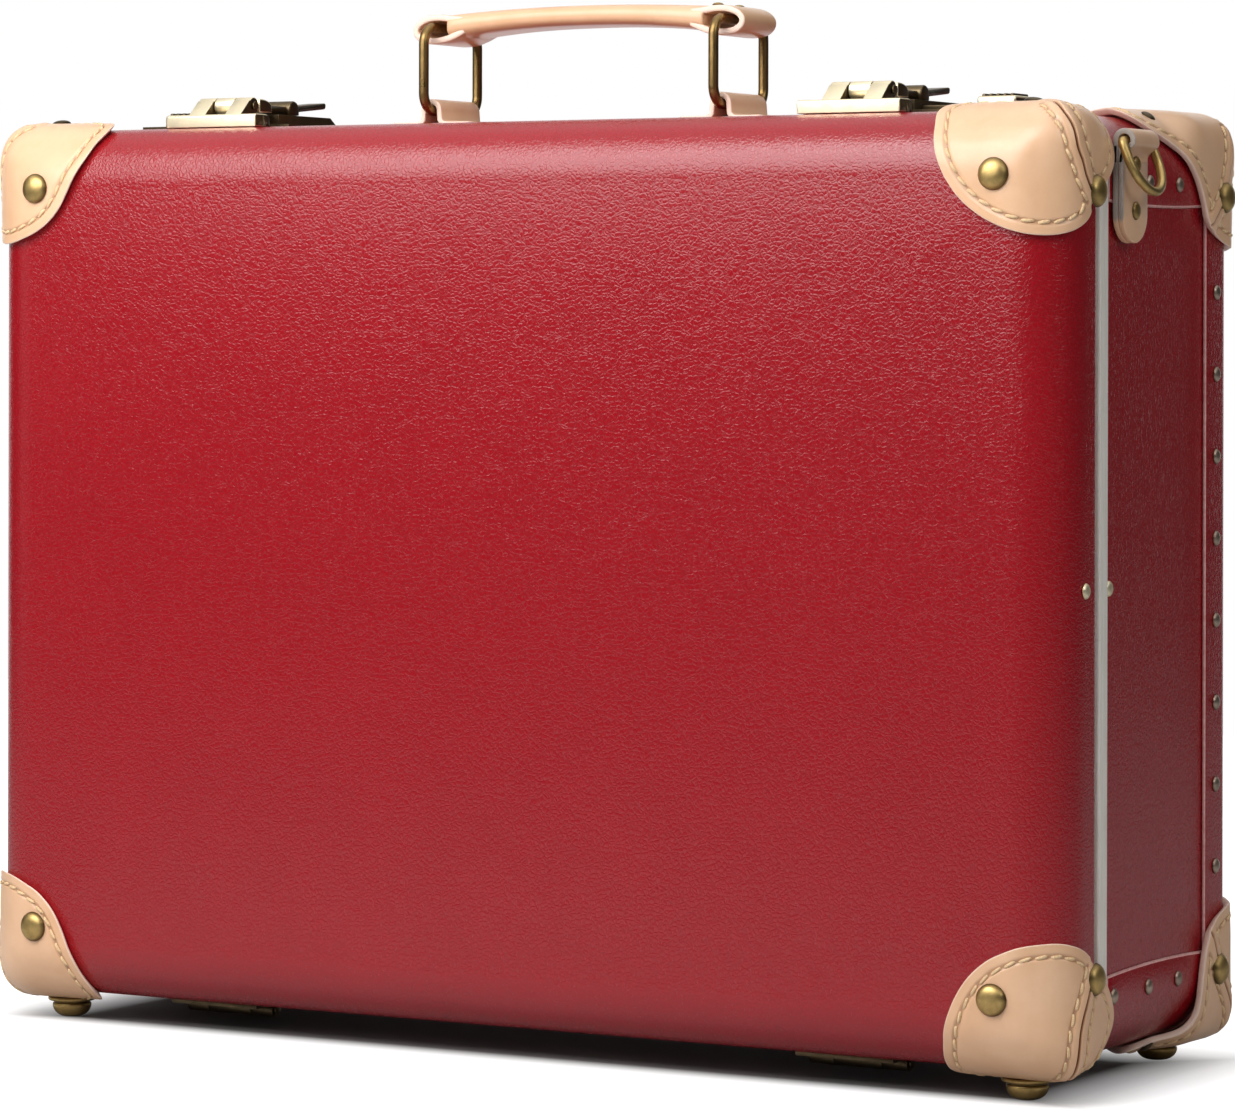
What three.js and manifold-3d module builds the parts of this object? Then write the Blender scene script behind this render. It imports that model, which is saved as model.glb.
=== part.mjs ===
// Hard trunk suitcase: a shallow lid and a deeper base, hinged along the bottom edge,
// closed by two hasps on top, with leather corner guards, a folding handle on two
// rectangular rings, a D ring tab on each side and four domed feet.
//
// Case space: X to the right, Y is the depth behind the front plane of the lid,
// Z is the height above the underside of the case. Lengths are in millimetres.
import * as THREE from 'three';
import { mergeVertices } from 'three/addons/utils/BufferGeometryUtils.js';
import Module from 'manifold-3d';

const wasm = await Module();
wasm.setup();

// Case
const caseWidth = 480;
const caseHeight = 350;
const caseDepth = 153.5;
const cornerRadius = 24;
const cornerRadiusLeast = 1.5;
const lidEdgeRadius = 22;
const backEdgeRadius = 8;
const wallThickness = 4;
const lidDepth = 30.5;
const seamGap = 3.8;
const railWidth = 7.8;
const railTongueWall = 1.8;
const railTongueReach = 8.3;
const railTongueHold = 3;
const standHeight = 11.3;
const clearance = 0.3;
const tongueClearance = 0.6;
const overrun = 12;

// Covering strips, binding and lining
const stripThickness = 0.6;
const stripDrop = 33.5;
const bindingThickness = 1.2;
const bindingWidth = 23.5;
const bindingBackReach = 22;
const liningThickness = 1.2;
const lidLiningStep = 7;
const baseLiningStep = 6;

// Corner guards
const guardThickness = 2.5;
const guardTopWidth = 52;
const guardTopHeight = 46.5;
const guardBottomWidth = 47.5;
const guardBottomHeight = 49.5;
const guardWrap = 25.5;
const sideFlapDepth = 43.4;
const sideFlapDrop = 34;
const sideFlapRound = 27;
const edgeFlapMargin = 0.5;
const edgeFlapWidth = 55;
const edgeFlapMiddleShare = 0.33;
const edgeFlapReachShare = 0.67;
const backFlapTopReach = 76;
const backFlapBottomReach = 64;
const guardLobeShares = [[1.04, 0.05], [1.0, 0.2], [0.97, 0.38], [0.87, 0.65], [0.6, 0.88], [0.2, 1.0]];
const backFlapShares = [[0.8, 0.17], [0.6, 0.3], [0.47, 0.48], [0.4, 0.67], [0.36, 0.9]];

// Rivets with a domed cap
const rivetRadius = 6;
const rivetHeight = 3.4;
const frontRivetInset = 26;
const frontRivetTopDrop = 24;
const frontRivetBottomRise = 28;
const sideRivetDepth = 24;
const sideRivetTopDrop = 30;
const sideRivetBottomRise = 34.5;
const backRivetTopInset = 12.5;
const backRivetBottomInset = 17;
const backRivetTopDrop = 29.5;
const backRivetBottomRise = 26;

// Feet
const footInset = 24.8;
const frontFootDepth = 26.4;
const backFootInset = 10.7;
const footFlangeRadius = 9;
const footFlangeThickness = 1.6;
const footNeckRadius = 6.6;
const footDomeRadius = 7.2;
const footFlatRadius = 2.6;
const footDomeShare = 0.82;

// Latches on top: a lid bar, a hasp on its pin, a lock case and a thumb slide
const latchSideInset = 96.5;
const lidBarLength = 43;
const lidBarStart = 20.5;
const lidBarEnd = 30;
const lidBarHeight = 5.4;
const lidBarChamfer = 1.4;
const haspAxisDepth = 33;
const haspAxisHeight = 9.1;
const knuckleRadius = 3.4;
const knuckleSpan = 25;
const haspKnuckleLength = 9;
const knuckleGap = 0.35;
const haspPinRadius = 1.2;
const pinHead = 0.8;
const pinHeadShare = 1.5;
const haspPlateEnd = 46;
const haspPlateLow = 6.6;
const haspPlateHigh = 11.6;
const haspArmWidth = 14;
const haspArmHigh = 10.2;
const haspCollarDepth = 67;
const haspCollarLength = 5;
const haspCollarWidth = 17;
const haspCollarHigh = 12.6;
const haspTabEnd = 98;
const haspTabWidth = 9;
const haspTabThickness = 2.6;
const haspTabRise = 2.8;
const haspNibDepth = 57;
const haspNibLength = 4;
const haspNibWidth = 6;
const lockPlateStart = 47;
const lockPlateEnd = 96;
const lockPlateInner = 20;
const lockPlateOuter = 52;
const lockPlateThickness = 2.2;
const lockCaseHalfWidth = 13;
const lockCaseStart = 50;
const lockCaseEnd = 88;
const lockCaseHeight = 6.2;
const lockCaseSlope = 6;
const slideWidth = 16;
const slideStart = 60;
const slideEnd = 76;
const slideHeight = 8.4;
const slideRibHeight = 0.9;
const slideRibWidth = 1.6;
const slideRibCount = 4;
const slideMiddleOffset = 42;
const boltWidth = 5;
const boltThickness = 1.7;

// Hinges under the case
const hingeSideInset = 98;
const hingeWidth = 41;
const hingeMiddleLength = 20;
const hingeAxisDepth = 36.2;
const hingeAxisDrop = 3.5;
const hingeKnuckleRadius = 3;
const hingeLeafThickness = 1.5;
const hingeWebLap = 1;
const lidLeafStart = 22;
const baseLeafEnd = 60;
const hingePinRadius = 1.2;

// Handle
const handleDepth = 78;
const handleRingOffset = 66;
const ringWireRadius = 2;
const ringSpan = 40.7;
const ringLowHeight = 7;
const ringHighHeight = 40.2;
const ringBend = 7;
const loopBore = 2.5;
const gripWidth = 27;
const gripHalfLength = 58.5;
const gripTopMiddle = 47.6;
const gripTopEnd = 45.7;
const gripUnderMiddle = 39.2;
const gripUnderEnd = 35.6;
const gripSquareShare = 0.55;
const gripLoopReach = 9.8;
const gripLoopHigh = 45.5;
const gripLoopLow = 33.8;
const gripStrap = 2.6;
const gripLoopOverlap = 3;
const chapeWidth = 30;
const chapeRadius = 4.7;
const chapeFlange = 13;
const chapeThickness = 2.2;

// D ring tab on each side
const tabDepth = 55;
const tabWidth = 22;
const tabTopDrop = 6.4;
const tabLength = 42;
const tabLayer = 2.2;
const dRingWireRadius = 1.6;
const dRingSpan = 26;
const dRingDrop = 20;
const dRingTilt = THREE.MathUtils.degToRad(22);
const tabBore = 2.1;
const tabLoopRadius = 4.6;

// Facets
const cornerSteps = 6;
const lidEdgeSteps = 5;
const backEdgeSteps = 3;
const roundSteps = 16;
const rivetSides = 12;
const domeSteps = 3;
const curveSteps = 3;
const ringSteps = 2;
const dRingSteps = 6;
const crownSteps = 5;
const gripStations = 15;

// Distances that follow from the sizes above
const halfWidth = caseWidth / 2;
const latchOffset = halfWidth - latchSideInset;
const hingeOffset = halfWidth - hingeSideInset;
const railStart = lidDepth + seamGap;
const railEnd = railStart + railWidth;
const baseStart = railEnd + clearance;
const baseInset = stripThickness + clearance;
const backGuardInset = -(bindingThickness - baseInset + clearance + clearance);
const frontGuardOuter = clearance + guardThickness;
const backGuardOuter = guardThickness - backGuardInset;
const topFlapEnd = lidDepth - edgeFlapMargin;
const frontExtreme = -(frontGuardOuter + clearance + rivetHeight);
const backExtreme = caseDepth + backGuardOuter;
const middleDepth = (frontExtreme + backExtreme) / 2;

// Colours of the materials
const finishes = {
  redLeather: { color: 0x9c1822, roughness: 0.5, metalness: 0 },
  naturalLeather: { color: 0xdcb48c, roughness: 0.55, metalness: 0 },
  brass: { color: 0x9d8148, roughness: 0.35, metalness: 1 },
  rail: { color: 0xb4b0a6, roughness: 0.35, metalness: 1 },
  lining: { color: 0xcbb894, roughness: 0.9, metalness: 0 },
};

const suitcase = new THREE.Group();
suitcase.position.set(0, -middleDepth, standHeight);

function signedVolume(position, index) {
  const a = new THREE.Vector3();
  const b = new THREE.Vector3();
  const c = new THREE.Vector3();
  let sum = 0;
  for (let i = 0; i < index.count; i += 3) {
    a.fromBufferAttribute(position, index.getX(i));
    b.fromBufferAttribute(position, index.getX(i + 1));
    c.fromBufferAttribute(position, index.getX(i + 2));
    sum += a.dot(b.cross(c));
  }
  return sum / 6;
}

// A geometry with shared vertices and faces that point out.
function closedGeometry(geometry) {
  const plain = geometry.clone();
  plain.deleteAttribute('normal');
  plain.deleteAttribute('uv');
  const merged = mergeVertices(plain);
  const index = merged.getIndex();
  if (signedVolume(merged.getAttribute('position'), index) < 0) {
    for (let i = 0; i < index.count; i += 3) {
      const first = index.getX(i);
      index.setX(i, index.getX(i + 1));
      index.setX(i + 1, first);
    }
  }
  return merged;
}

function toManifold(geometry) {
  const closed = closedGeometry(geometry);
  return new wasm.Manifold(new wasm.Mesh({
    numProp: 3,
    vertProperties: new Float32Array(closed.getAttribute('position').array),
    triVerts: new Uint32Array(closed.getIndex().array),
  }));
}

function toGeometry(manifold) {
  const mesh = manifold.getMesh();
  const geometry = new THREE.BufferGeometry();
  geometry.setAttribute('position', new THREE.BufferAttribute(new Float32Array(mesh.vertProperties), 3));
  geometry.setIndex(new THREE.BufferAttribute(new Uint32Array(mesh.triVerts), 1));
  return geometry;
}

function join(...geometries) {
  return toGeometry(geometries.map(toManifold).reduce((sum, next) => sum.add(next)));
}

function cut(geometry, ...tools) {
  return toGeometry(tools.map(toManifold).reduce((sum, next) => sum.subtract(next), toManifold(geometry)));
}

function common(...geometries) {
  return toGeometry(geometries.map(toManifold).reduce((sum, next) => sum.intersect(next)));
}

function addPiece(name, geometry, finish, parent = suitcase) {
  const closed = closedGeometry(geometry);
  const flat = closed.toNonIndexed();
  flat.computeVertexNormals();
  const mesh = new THREE.Mesh(flat, new THREE.MeshStandardMaterial(finish));
  mesh.name = name;
  parent.add(mesh);
  return mesh;
}

// A shape drawn in two axes and extruded along the third, from one place to another.
function extrudeAlong(axis, shape, from, to, curveSegments = roundSteps / 2) {
  const geometry = new THREE.ExtrudeGeometry(shape, { depth: to - from, bevelEnabled: false, curveSegments });
  geometry.translate(0, 0, from);
  const x = new THREE.Vector3(1, 0, 0);
  const y = new THREE.Vector3(0, 1, 0);
  const z = new THREE.Vector3(0, 0, 1);
  const basis = new THREE.Matrix4();
  if (axis === 'x') basis.makeBasis(y, z, x);
  if (axis === 'y') basis.makeBasis(x, z, y);
  geometry.applyMatrix4(basis);
  return geometry;
}

function extrudeUp(shape, from, to) {
  const geometry = new THREE.ExtrudeGeometry(shape, {
    depth: to - from,
    bevelEnabled: false,
    curveSegments: roundSteps / 2,
  });
  geometry.translate(0, 0, from);
  return geometry;
}

function box(x0, x1, y0, y1, z0, z1) {
  const geometry = new THREE.BoxGeometry(x1 - x0, y1 - y0, z1 - z0);
  geometry.translate((x0 + x1) / 2, (y0 + y1) / 2, (z0 + z1) / 2);
  return geometry;
}

function polygon(points) {
  return new THREE.Shape(points.map(([a, b]) => new THREE.Vector2(a, b)));
}

function disc(a, b, radius) {
  const shape = new THREE.Shape();
  shape.absarc(a, b, radius, 0, 2 * Math.PI);
  return shape;
}

function rodAlongX(radius, from, to, y, z) {
  return extrudeAlong('x', disc(y, z, radius), from, to);
}

function rodAlongY(radius, from, to, x, z) {
  return extrudeAlong('y', disc(x, z, radius), from, to);
}

// Rounded rectangle of the case, seen from the front, drawn in by an inset.
function caseSection(inset) {
  const radius = Math.max(cornerRadius - inset, cornerRadiusLeast);
  const points = [];
  for (let corner = 0; corner < 4; corner += 1) {
    const start = corner * Math.PI / 2;
    const sideX = corner === 0 || corner === 3 ? 1 : -1;
    const sideZ = corner < 2 ? 1 : -1;
    const centreX = sideX * (halfWidth - inset - radius);
    const centreZ = caseHeight / 2 + sideZ * (caseHeight / 2 - inset - radius);
    for (let step = 0; step <= cornerSteps; step += 1) {
      const angle = start + (step / cornerSteps) * Math.PI / 2;
      points.push([centreX + radius * Math.cos(angle), centreZ + radius * Math.sin(angle)]);
    }
  }
  return points;
}

// Sections of the case joined one after the other. An open run is capped at both ends,
// a closed run goes round as a frame.
function caseLoft(profile, closed) {
  const vertices = [];
  const faces = [];
  const count = caseSection(0).length;
  for (const [inset, depth] of profile) {
    for (const [x, z] of caseSection(inset)) vertices.push(x, depth, z);
  }
  const runs = closed ? profile.length : profile.length - 1;
  for (let run = 0; run < runs; run += 1) {
    const here = run * count;
    const there = ((run + 1) % profile.length) * count;
    for (let i = 0; i < count; i += 1) {
      const next = (i + 1) % count;
      faces.push(here + i, there + i, there + next, here + i, there + next, here + next);
    }
  }
  if (!closed) {
    for (const end of [0, profile.length - 1]) {
      const centre = vertices.length / 3;
      vertices.push(0, profile[end][1], caseHeight / 2);
      for (let i = 0; i < count; i += 1) {
        const a = end * count + i;
        const b = end * count + (i + 1) % count;
        if (end === 0) faces.push(centre, a, b);
        else faces.push(centre, b, a);
      }
    }
  }
  const geometry = new THREE.BufferGeometry();
  geometry.setAttribute('position', new THREE.Float32BufferAttribute(vertices, 3));
  geometry.setIndex(faces);
  return geometry;
}

// Quarter round from the side of the case to its front or back plane.
function edgeRound(inset, edgeRadius, planeDepth, inward, edgeSteps) {
  const radius = edgeRadius - inset;
  const points = [];
  for (let step = 0; step <= edgeSteps; step += 1) {
    const angle = (step / edgeSteps) * Math.PI / 2;
    const side = inset + radius * (1 - Math.cos(angle));
    const depth = planeDepth + inward * (inset + radius * (1 - Math.sin(angle)));
    points.push([side, depth]);
  }
  return points;
}

const lidRound = (inset) => edgeRound(inset, lidEdgeRadius, 0, 1, lidEdgeSteps);
function backRound(inset) {
  return edgeRound(inset, Math.max(backEdgeRadius, inset + clearance), caseDepth, -1, backEdgeSteps);
}

// Tray with a wall between two insets, open at the rim.
function tray(round, rim, outer, inner) {
  const outside = round(outer).reverse();
  const inside = round(inner);
  return caseLoft([...outside, [outer, rim], [inner, rim], ...inside], false);
}

// The whole case grown or shrunk by an inset, as a solid to cut with.
const lidBlock = (inset) => caseLoft([...lidRound(inset).reverse(), [inset, caseDepth]], false);
const baseBlock = (inset) => caseLoft([...backRound(inset).reverse(), [inset, railStart]], false);

// Lid and base
addPiece('lid_shell', tray(lidRound, lidDepth, 0, wallThickness), finishes.redLeather);
const lidLiningInset = wallThickness + clearance;
const lidLining = tray(lidRound, lidDepth - lidLiningStep, lidLiningInset, lidLiningInset + liningThickness);
addPiece('lid_lining', lidLining, finishes.lining);
const baseWall = baseInset + wallThickness;
addPiece('base_shell', tray(backRound, baseStart, baseInset, baseWall), finishes.redLeather);
const baseLiningInset = baseWall + clearance;
const baseLiningInner = baseLiningInset + liningThickness;
const baseLining = tray(backRound, baseStart + baseLiningStep, baseLiningInset, baseLiningInner);
addPiece('base_lining', baseLining, finishes.lining);

const tongueOuter = wallThickness + tongueClearance;
const tongueInner = tongueOuter + railTongueWall;
const tongueFront = railStart - railTongueReach;
const tongueBack = railEnd + railTongueHold;
const tongueBaseOuter = baseWall + clearance;
addPiece('base_rail', caseLoft([
  [0, railStart],
  [0, railEnd],
  [tongueBaseOuter, railEnd],
  [tongueBaseOuter, tongueBack],
  [tongueInner, tongueBack],
  [tongueInner, tongueFront],
  [tongueOuter, tongueFront],
  [tongueOuter, railStart],
], true), finishes.rail);

// Covering strips over the top and bottom of the base
const stripEnd = caseDepth - bindingWidth - clearance;
const stripBand = caseLoft([
  [0, baseStart],
  [0, stripEnd],
  [stripThickness, stripEnd],
  [stripThickness, baseStart],
], true);
const reachX = halfWidth + overrun;
const topRegion = box(-reachX, reachX, 0, caseDepth, caseHeight - stripDrop, caseHeight + overrun);
const bottomRegion = box(-reachX, reachX, 0, caseDepth, -overrun, stripDrop);
addPiece('top_strip', common(stripBand, topRegion), finishes.redLeather);
addPiece('bottom_strip', common(stripBand, bottomRegion), finishes.redLeather);

// Binding round the back edge
const bindingOuter = baseInset - clearance - bindingThickness;
const bindingInner = baseInset - clearance;
const bindingRim = caseDepth - bindingWidth;
const bindingOutside = [[bindingOuter, bindingRim], ...backRound(bindingOuter)];
const bindingInside = [...backRound(bindingInner).reverse(), [bindingInner, bindingRim]];
const bindingBackInset = backEdgeRadius + bindingBackReach;
addPiece('back_binding', caseLoft([
  ...bindingOutside,
  [bindingBackInset, caseDepth - bindingOuter],
  [bindingBackInset, caseDepth - bindingInner],
  ...bindingInside,
], true), finishes.redLeather);

// Corner space: p runs in from the side, d from the front or back plane, q from top or bottom.
function cornerPlace(geometry, sideX, isFront, isTop) {
  const matrix = new THREE.Matrix4().set(
    -sideX, 0, 0, sideX * halfWidth,
    0, isFront ? 1 : -1, 0, isFront ? 0 : caseDepth,
    0, 0, isTop ? -1 : 1, isTop ? caseHeight : 0,
    0, 0, 0, 1,
  );
  geometry.applyMatrix4(matrix);
  return geometry;
}

function ellipsoid(centre, radii) {
  const geometry = new THREE.SphereGeometry(1, roundSteps, roundSteps / 2);
  geometry.scale(...radii);
  geometry.translate(...centre);
  return geometry;
}

// The rounded lobe on the front or back face, in p and q.
function lobe(width, height) {
  const shape = new THREE.Shape();
  shape.moveTo(-overrun, -overrun);
  shape.lineTo(guardLobeShares[0][0] * width, -overrun);
  shape.splineThru(guardLobeShares.map(([a, b]) => new THREE.Vector2(a * width, b * height)));
  shape.lineTo(-overrun, height);
  return shape;
}

function frontGuardRegion(width, height) {
  const face = extrudeAlong('y', lobe(width, height), -overrun, guardWrap, curveSteps);
  const sideCentre = sideFlapDepth - sideFlapRound;
  const sideLevel = sideFlapDrop - sideFlapRound;
  const side = ellipsoid([0, sideCentre, sideLevel], [cornerRadius, sideFlapRound, sideFlapRound]);
  const edgeMiddle = edgeFlapWidth * edgeFlapMiddleShare;
  const edge = ellipsoid([edgeMiddle, 0, 0], [edgeFlapWidth * edgeFlapReachShare, topFlapEnd, cornerRadius]);
  return [face, side, edge];
}

// The side flap of a back guard sweeps out along the edge of the case, in d and q.
function backGuardRegion(width, height, reach) {
  const face = extrudeAlong('y', lobe(width, height), -overrun, guardWrap, curveSteps);
  const shape = new THREE.Shape();
  shape.moveTo(-overrun, -overrun);
  shape.lineTo(reach, -overrun);
  shape.lineTo(reach, 0);
  shape.splineThru(backFlapShares.map(([a, b]) => new THREE.Vector2(a * reach, b * height)));
  shape.lineTo(guardWrap, height);
  shape.lineTo(-overrun, height);
  const side = extrudeAlong('x', shape, -overrun, edgeFlapWidth, curveSteps);
  const quadrant = new THREE.Shape();
  quadrant.moveTo(-overrun, -overrun);
  quadrant.lineTo(edgeFlapWidth, -overrun);
  quadrant.absellipse(0, 0, edgeFlapWidth, reach, 0, Math.PI / 2);
  quadrant.lineTo(-overrun, reach);
  const top = extrudeUp(quadrant, -overrun, height + overrun);
  return [face, common(side, top)];
}

// Behind the hinge axis a flap of the lid that wrapped under the case would meet the rail as
// the lid opens, so there the lower front guards keep to the flat of the side.
function hingeRelief() {
  return box(-clearance, edgeFlapWidth, hingeAxisDepth - clearance, caseDepth, -overrun, cornerRadius);
}

const frontSkin = cut(lidBlock(-frontGuardOuter), lidBlock(-clearance));
const backSkin = cut(baseBlock(-backGuardOuter), baseBlock(backGuardInset));

const levels = [['top', true], ['bottom', false]];
const sides = [['left', -1], ['right', 1]];
for (const [sideName, sideX] of sides) {
  for (const [levelName, isTop] of levels) {
    const width = isTop ? guardTopWidth : guardBottomWidth;
    const height = isTop ? guardTopHeight : guardBottomHeight;
    const reach = isTop ? backFlapTopReach : backFlapBottomReach;
    const frontLobes = frontGuardRegion(width, height).map((g) => cornerPlace(g, sideX, true, isTop));
    const backLobes = backGuardRegion(width, height, reach).map((g) => cornerPlace(g, sideX, false, isTop));
    const wrapped = common(frontSkin, join(...frontLobes));
    const front = isTop ? wrapped : cut(wrapped, cornerPlace(hingeRelief(), sideX, true, isTop));
    const back = common(backSkin, join(...backLobes));
    addPiece(`guard_front_${levelName}_${sideName}`, front, finishes.naturalLeather);
    addPiece(`guard_back_${levelName}_${sideName}`, back, finishes.naturalLeather);
  }
}

// Domed rivet: a shallow cap of a sphere, its rim rounded over.
function rivetCap() {
  const points = [new THREE.Vector2(0, 0), new THREE.Vector2(rivetRadius, 0)];
  for (let step = 1; step < domeSteps; step += 1) {
    const angle = (step / domeSteps) * Math.PI / 2;
    points.push(new THREE.Vector2(rivetRadius * Math.cos(angle), rivetHeight * Math.sin(angle)));
  }
  points.push(new THREE.Vector2(0, rivetHeight));
  return new THREE.LatheGeometry(points, rivetSides);
}

for (const [sideName, sideX] of sides) {
  for (const [levelName, isTop] of levels) {
    const height = (drop, rise) => (isTop ? caseHeight - drop : rise);
    const frontOut = frontGuardOuter + clearance;
    const backOut = backGuardOuter + clearance;
    const front = addPiece(`rivet_front_${levelName}_${sideName}`, rivetCap(), finishes.brass);
    front.rotation.x = Math.PI;
    const frontHeight = height(frontRivetTopDrop, frontRivetBottomRise);
    front.position.set(sideX * (halfWidth - frontRivetInset), -frontOut, frontHeight);
    const side = addPiece(`rivet_side_${levelName}_${sideName}`, rivetCap(), finishes.brass);
    side.rotation.z = -sideX * Math.PI / 2;
    const sideHeight = height(sideRivetTopDrop, sideRivetBottomRise);
    side.position.set(sideX * (halfWidth + frontOut), sideRivetDepth, sideHeight);
    const back = addPiece(`rivet_back_${levelName}_${sideName}`, rivetCap(), finishes.brass);
    back.rotation.z = -sideX * Math.PI / 2;
    const backDepth = caseDepth - (isTop ? backRivetTopInset : backRivetBottomInset);
    const backHeight = height(backRivetTopDrop, backRivetBottomRise);
    back.position.set(sideX * (halfWidth + backOut), backDepth, backHeight);
  }
}

// Foot: flange, neck and dome with a small flat to stand on, from its seat down to the floor.
function foot(seatDrop) {
  const top = -(seatDrop + clearance);
  const low = -standHeight;
  const domeTop = top - footFlangeThickness;
  const domeHeight = domeTop - low;
  const points = [new THREE.Vector2(0, low), new THREE.Vector2(footFlatRadius, low)];
  for (let step = 1; step <= domeSteps; step += 1) {
    const angle = (step / domeSteps) * Math.PI / 2;
    const radius = footFlatRadius + (footDomeRadius - footFlatRadius) * Math.sin(angle);
    const lift = domeHeight * (1 - Math.cos(angle)) * footDomeShare;
    points.push(new THREE.Vector2(radius, low + lift));
  }
  points.push(new THREE.Vector2(footNeckRadius, domeTop));
  points.push(new THREE.Vector2(footFlangeRadius, domeTop));
  points.push(new THREE.Vector2(footFlangeRadius, top));
  points.push(new THREE.Vector2(0, top));
  const geometry = new THREE.LatheGeometry(points, roundSteps);
  geometry.rotateX(Math.PI / 2);
  return geometry;
}

for (const [sideName, sideX] of sides) {
  const frontFoot = addPiece(`foot_front_${sideName}`, foot(frontGuardOuter), finishes.brass);
  frontFoot.position.set(sideX * (halfWidth - footInset), frontFootDepth, 0);
  const backFoot = addPiece(`foot_back_${sideName}`, foot(backGuardOuter), finishes.brass);
  backFoot.position.set(sideX * (halfWidth - footInset), caseDepth - backFootInset, 0);
}

// Latch, drawn about its own centre line with its base on top of the case.
// The thumb slide sits on the outer side, so outward is given as a sign.
function latchBar() {
  const profile = polygon([
    [lidBarStart, clearance],
    [lidBarEnd, clearance],
    [lidBarEnd, lidBarHeight],
    [lidBarStart + lidBarChamfer, lidBarHeight],
    [lidBarStart, lidBarHeight - lidBarChamfer],
  ]);
  const bar = extrudeAlong('x', profile, -lidBarLength / 2, lidBarLength / 2);
  const slant = knuckleRadius * Math.SQRT1_2;
  const web = polygon([
    [lidBarStart + 2 * lidBarChamfer, lidBarHeight - lidBarChamfer],
    [lidBarEnd, clearance + lidBarChamfer],
    [haspAxisDepth + slant, haspAxisHeight - slant],
    [haspAxisDepth - slant, haspAxisHeight + slant],
  ]);
  const inner = haspKnuckleLength / 2 + knuckleGap;
  const parts = [bar];
  for (const [from, to] of [[-knuckleSpan / 2, -inner], [inner, knuckleSpan / 2]]) {
    parts.push(extrudeAlong('x', web, from, to));
    parts.push(rodAlongX(knuckleRadius, from, to, haspAxisDepth, haspAxisHeight));
  }
  const relief = rodAlongX(knuckleRadius + knuckleGap, -inner, inner, haspAxisDepth, haspAxisHeight);
  const boreRadius = haspPinRadius + clearance;
  const bore = rodAlongX(boreRadius, -lidBarLength, lidBarLength, haspAxisDepth, haspAxisHeight);
  return cut(join(...parts), relief, bore);
}

function hasp() {
  const half = haspKnuckleLength / 2;
  const knuckle = rodAlongX(knuckleRadius, -half, half, haspAxisDepth, haspAxisHeight);
  const plateStart = haspAxisDepth + knuckleRadius + 2 * knuckleGap;
  const neckHigh = haspAxisHeight + knuckleRadius - knuckleGap;
  const neck = box(-half, half, haspAxisDepth, plateStart + knuckleGap, haspPlateLow, neckHigh);
  const dome = new THREE.Shape();
  dome.moveTo(plateStart, haspPlateLow);
  dome.lineTo(haspPlateEnd, haspPlateLow);
  dome.lineTo(haspPlateEnd, haspArmHigh);
  const plateMiddle = (plateStart + haspPlateEnd) / 2;
  dome.quadraticCurveTo(plateMiddle, 2 * haspPlateHigh - haspArmHigh, plateStart, haspPlateHigh);
  const plate = extrudeAlong('x', dome, -knuckleSpan / 2, knuckleSpan / 2, crownSteps);
  const armHalf = haspArmWidth / 2;
  const arm = box(-armHalf, armHalf, haspPlateEnd - knuckleGap, haspCollarDepth, haspPlateLow, haspArmHigh);
  const collarEnd = haspCollarDepth + haspCollarLength;
  const collarStart = haspCollarDepth - haspCollarLength / 2;
  const collarMiddle = (collarStart + collarEnd) / 2;
  const collarShape = new THREE.Shape();
  collarShape.moveTo(collarStart, haspPlateLow);
  collarShape.lineTo(collarEnd, haspPlateLow);
  collarShape.lineTo(collarEnd, haspArmHigh);
  collarShape.quadraticCurveTo(collarMiddle, 2 * haspCollarHigh - haspArmHigh, collarStart, haspArmHigh);
  const collar = extrudeAlong('x', collarShape, -haspCollarWidth / 2, haspCollarWidth / 2, crownSteps);
  const tabLow = haspArmHigh - haspTabThickness;
  const tab = extrudeAlong('x', polygon([
    [haspCollarDepth, tabLow],
    [haspTabEnd, tabLow + haspTabRise],
    [haspTabEnd, tabLow + haspTabRise + haspTabThickness],
    [haspCollarDepth, haspArmHigh],
  ]), -haspTabWidth / 2, haspTabWidth / 2);
  const nibLow = lockPlateThickness + 2 * clearance;
  const nibHalf = haspNibWidth / 2;
  const nibHigh = haspPlateLow + knuckleGap;
  const nib = box(-nibHalf, nibHalf, haspNibDepth, haspNibDepth + haspNibLength, nibLow, nibHigh);
  const boreRadius = haspPinRadius + clearance;
  const bore = rodAlongX(boreRadius, -haspKnuckleLength, haspKnuckleLength, haspAxisDepth, haspAxisHeight);
  return cut(join(knuckle, neck, plate, arm, collar, tab, nib), bore);
}

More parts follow.
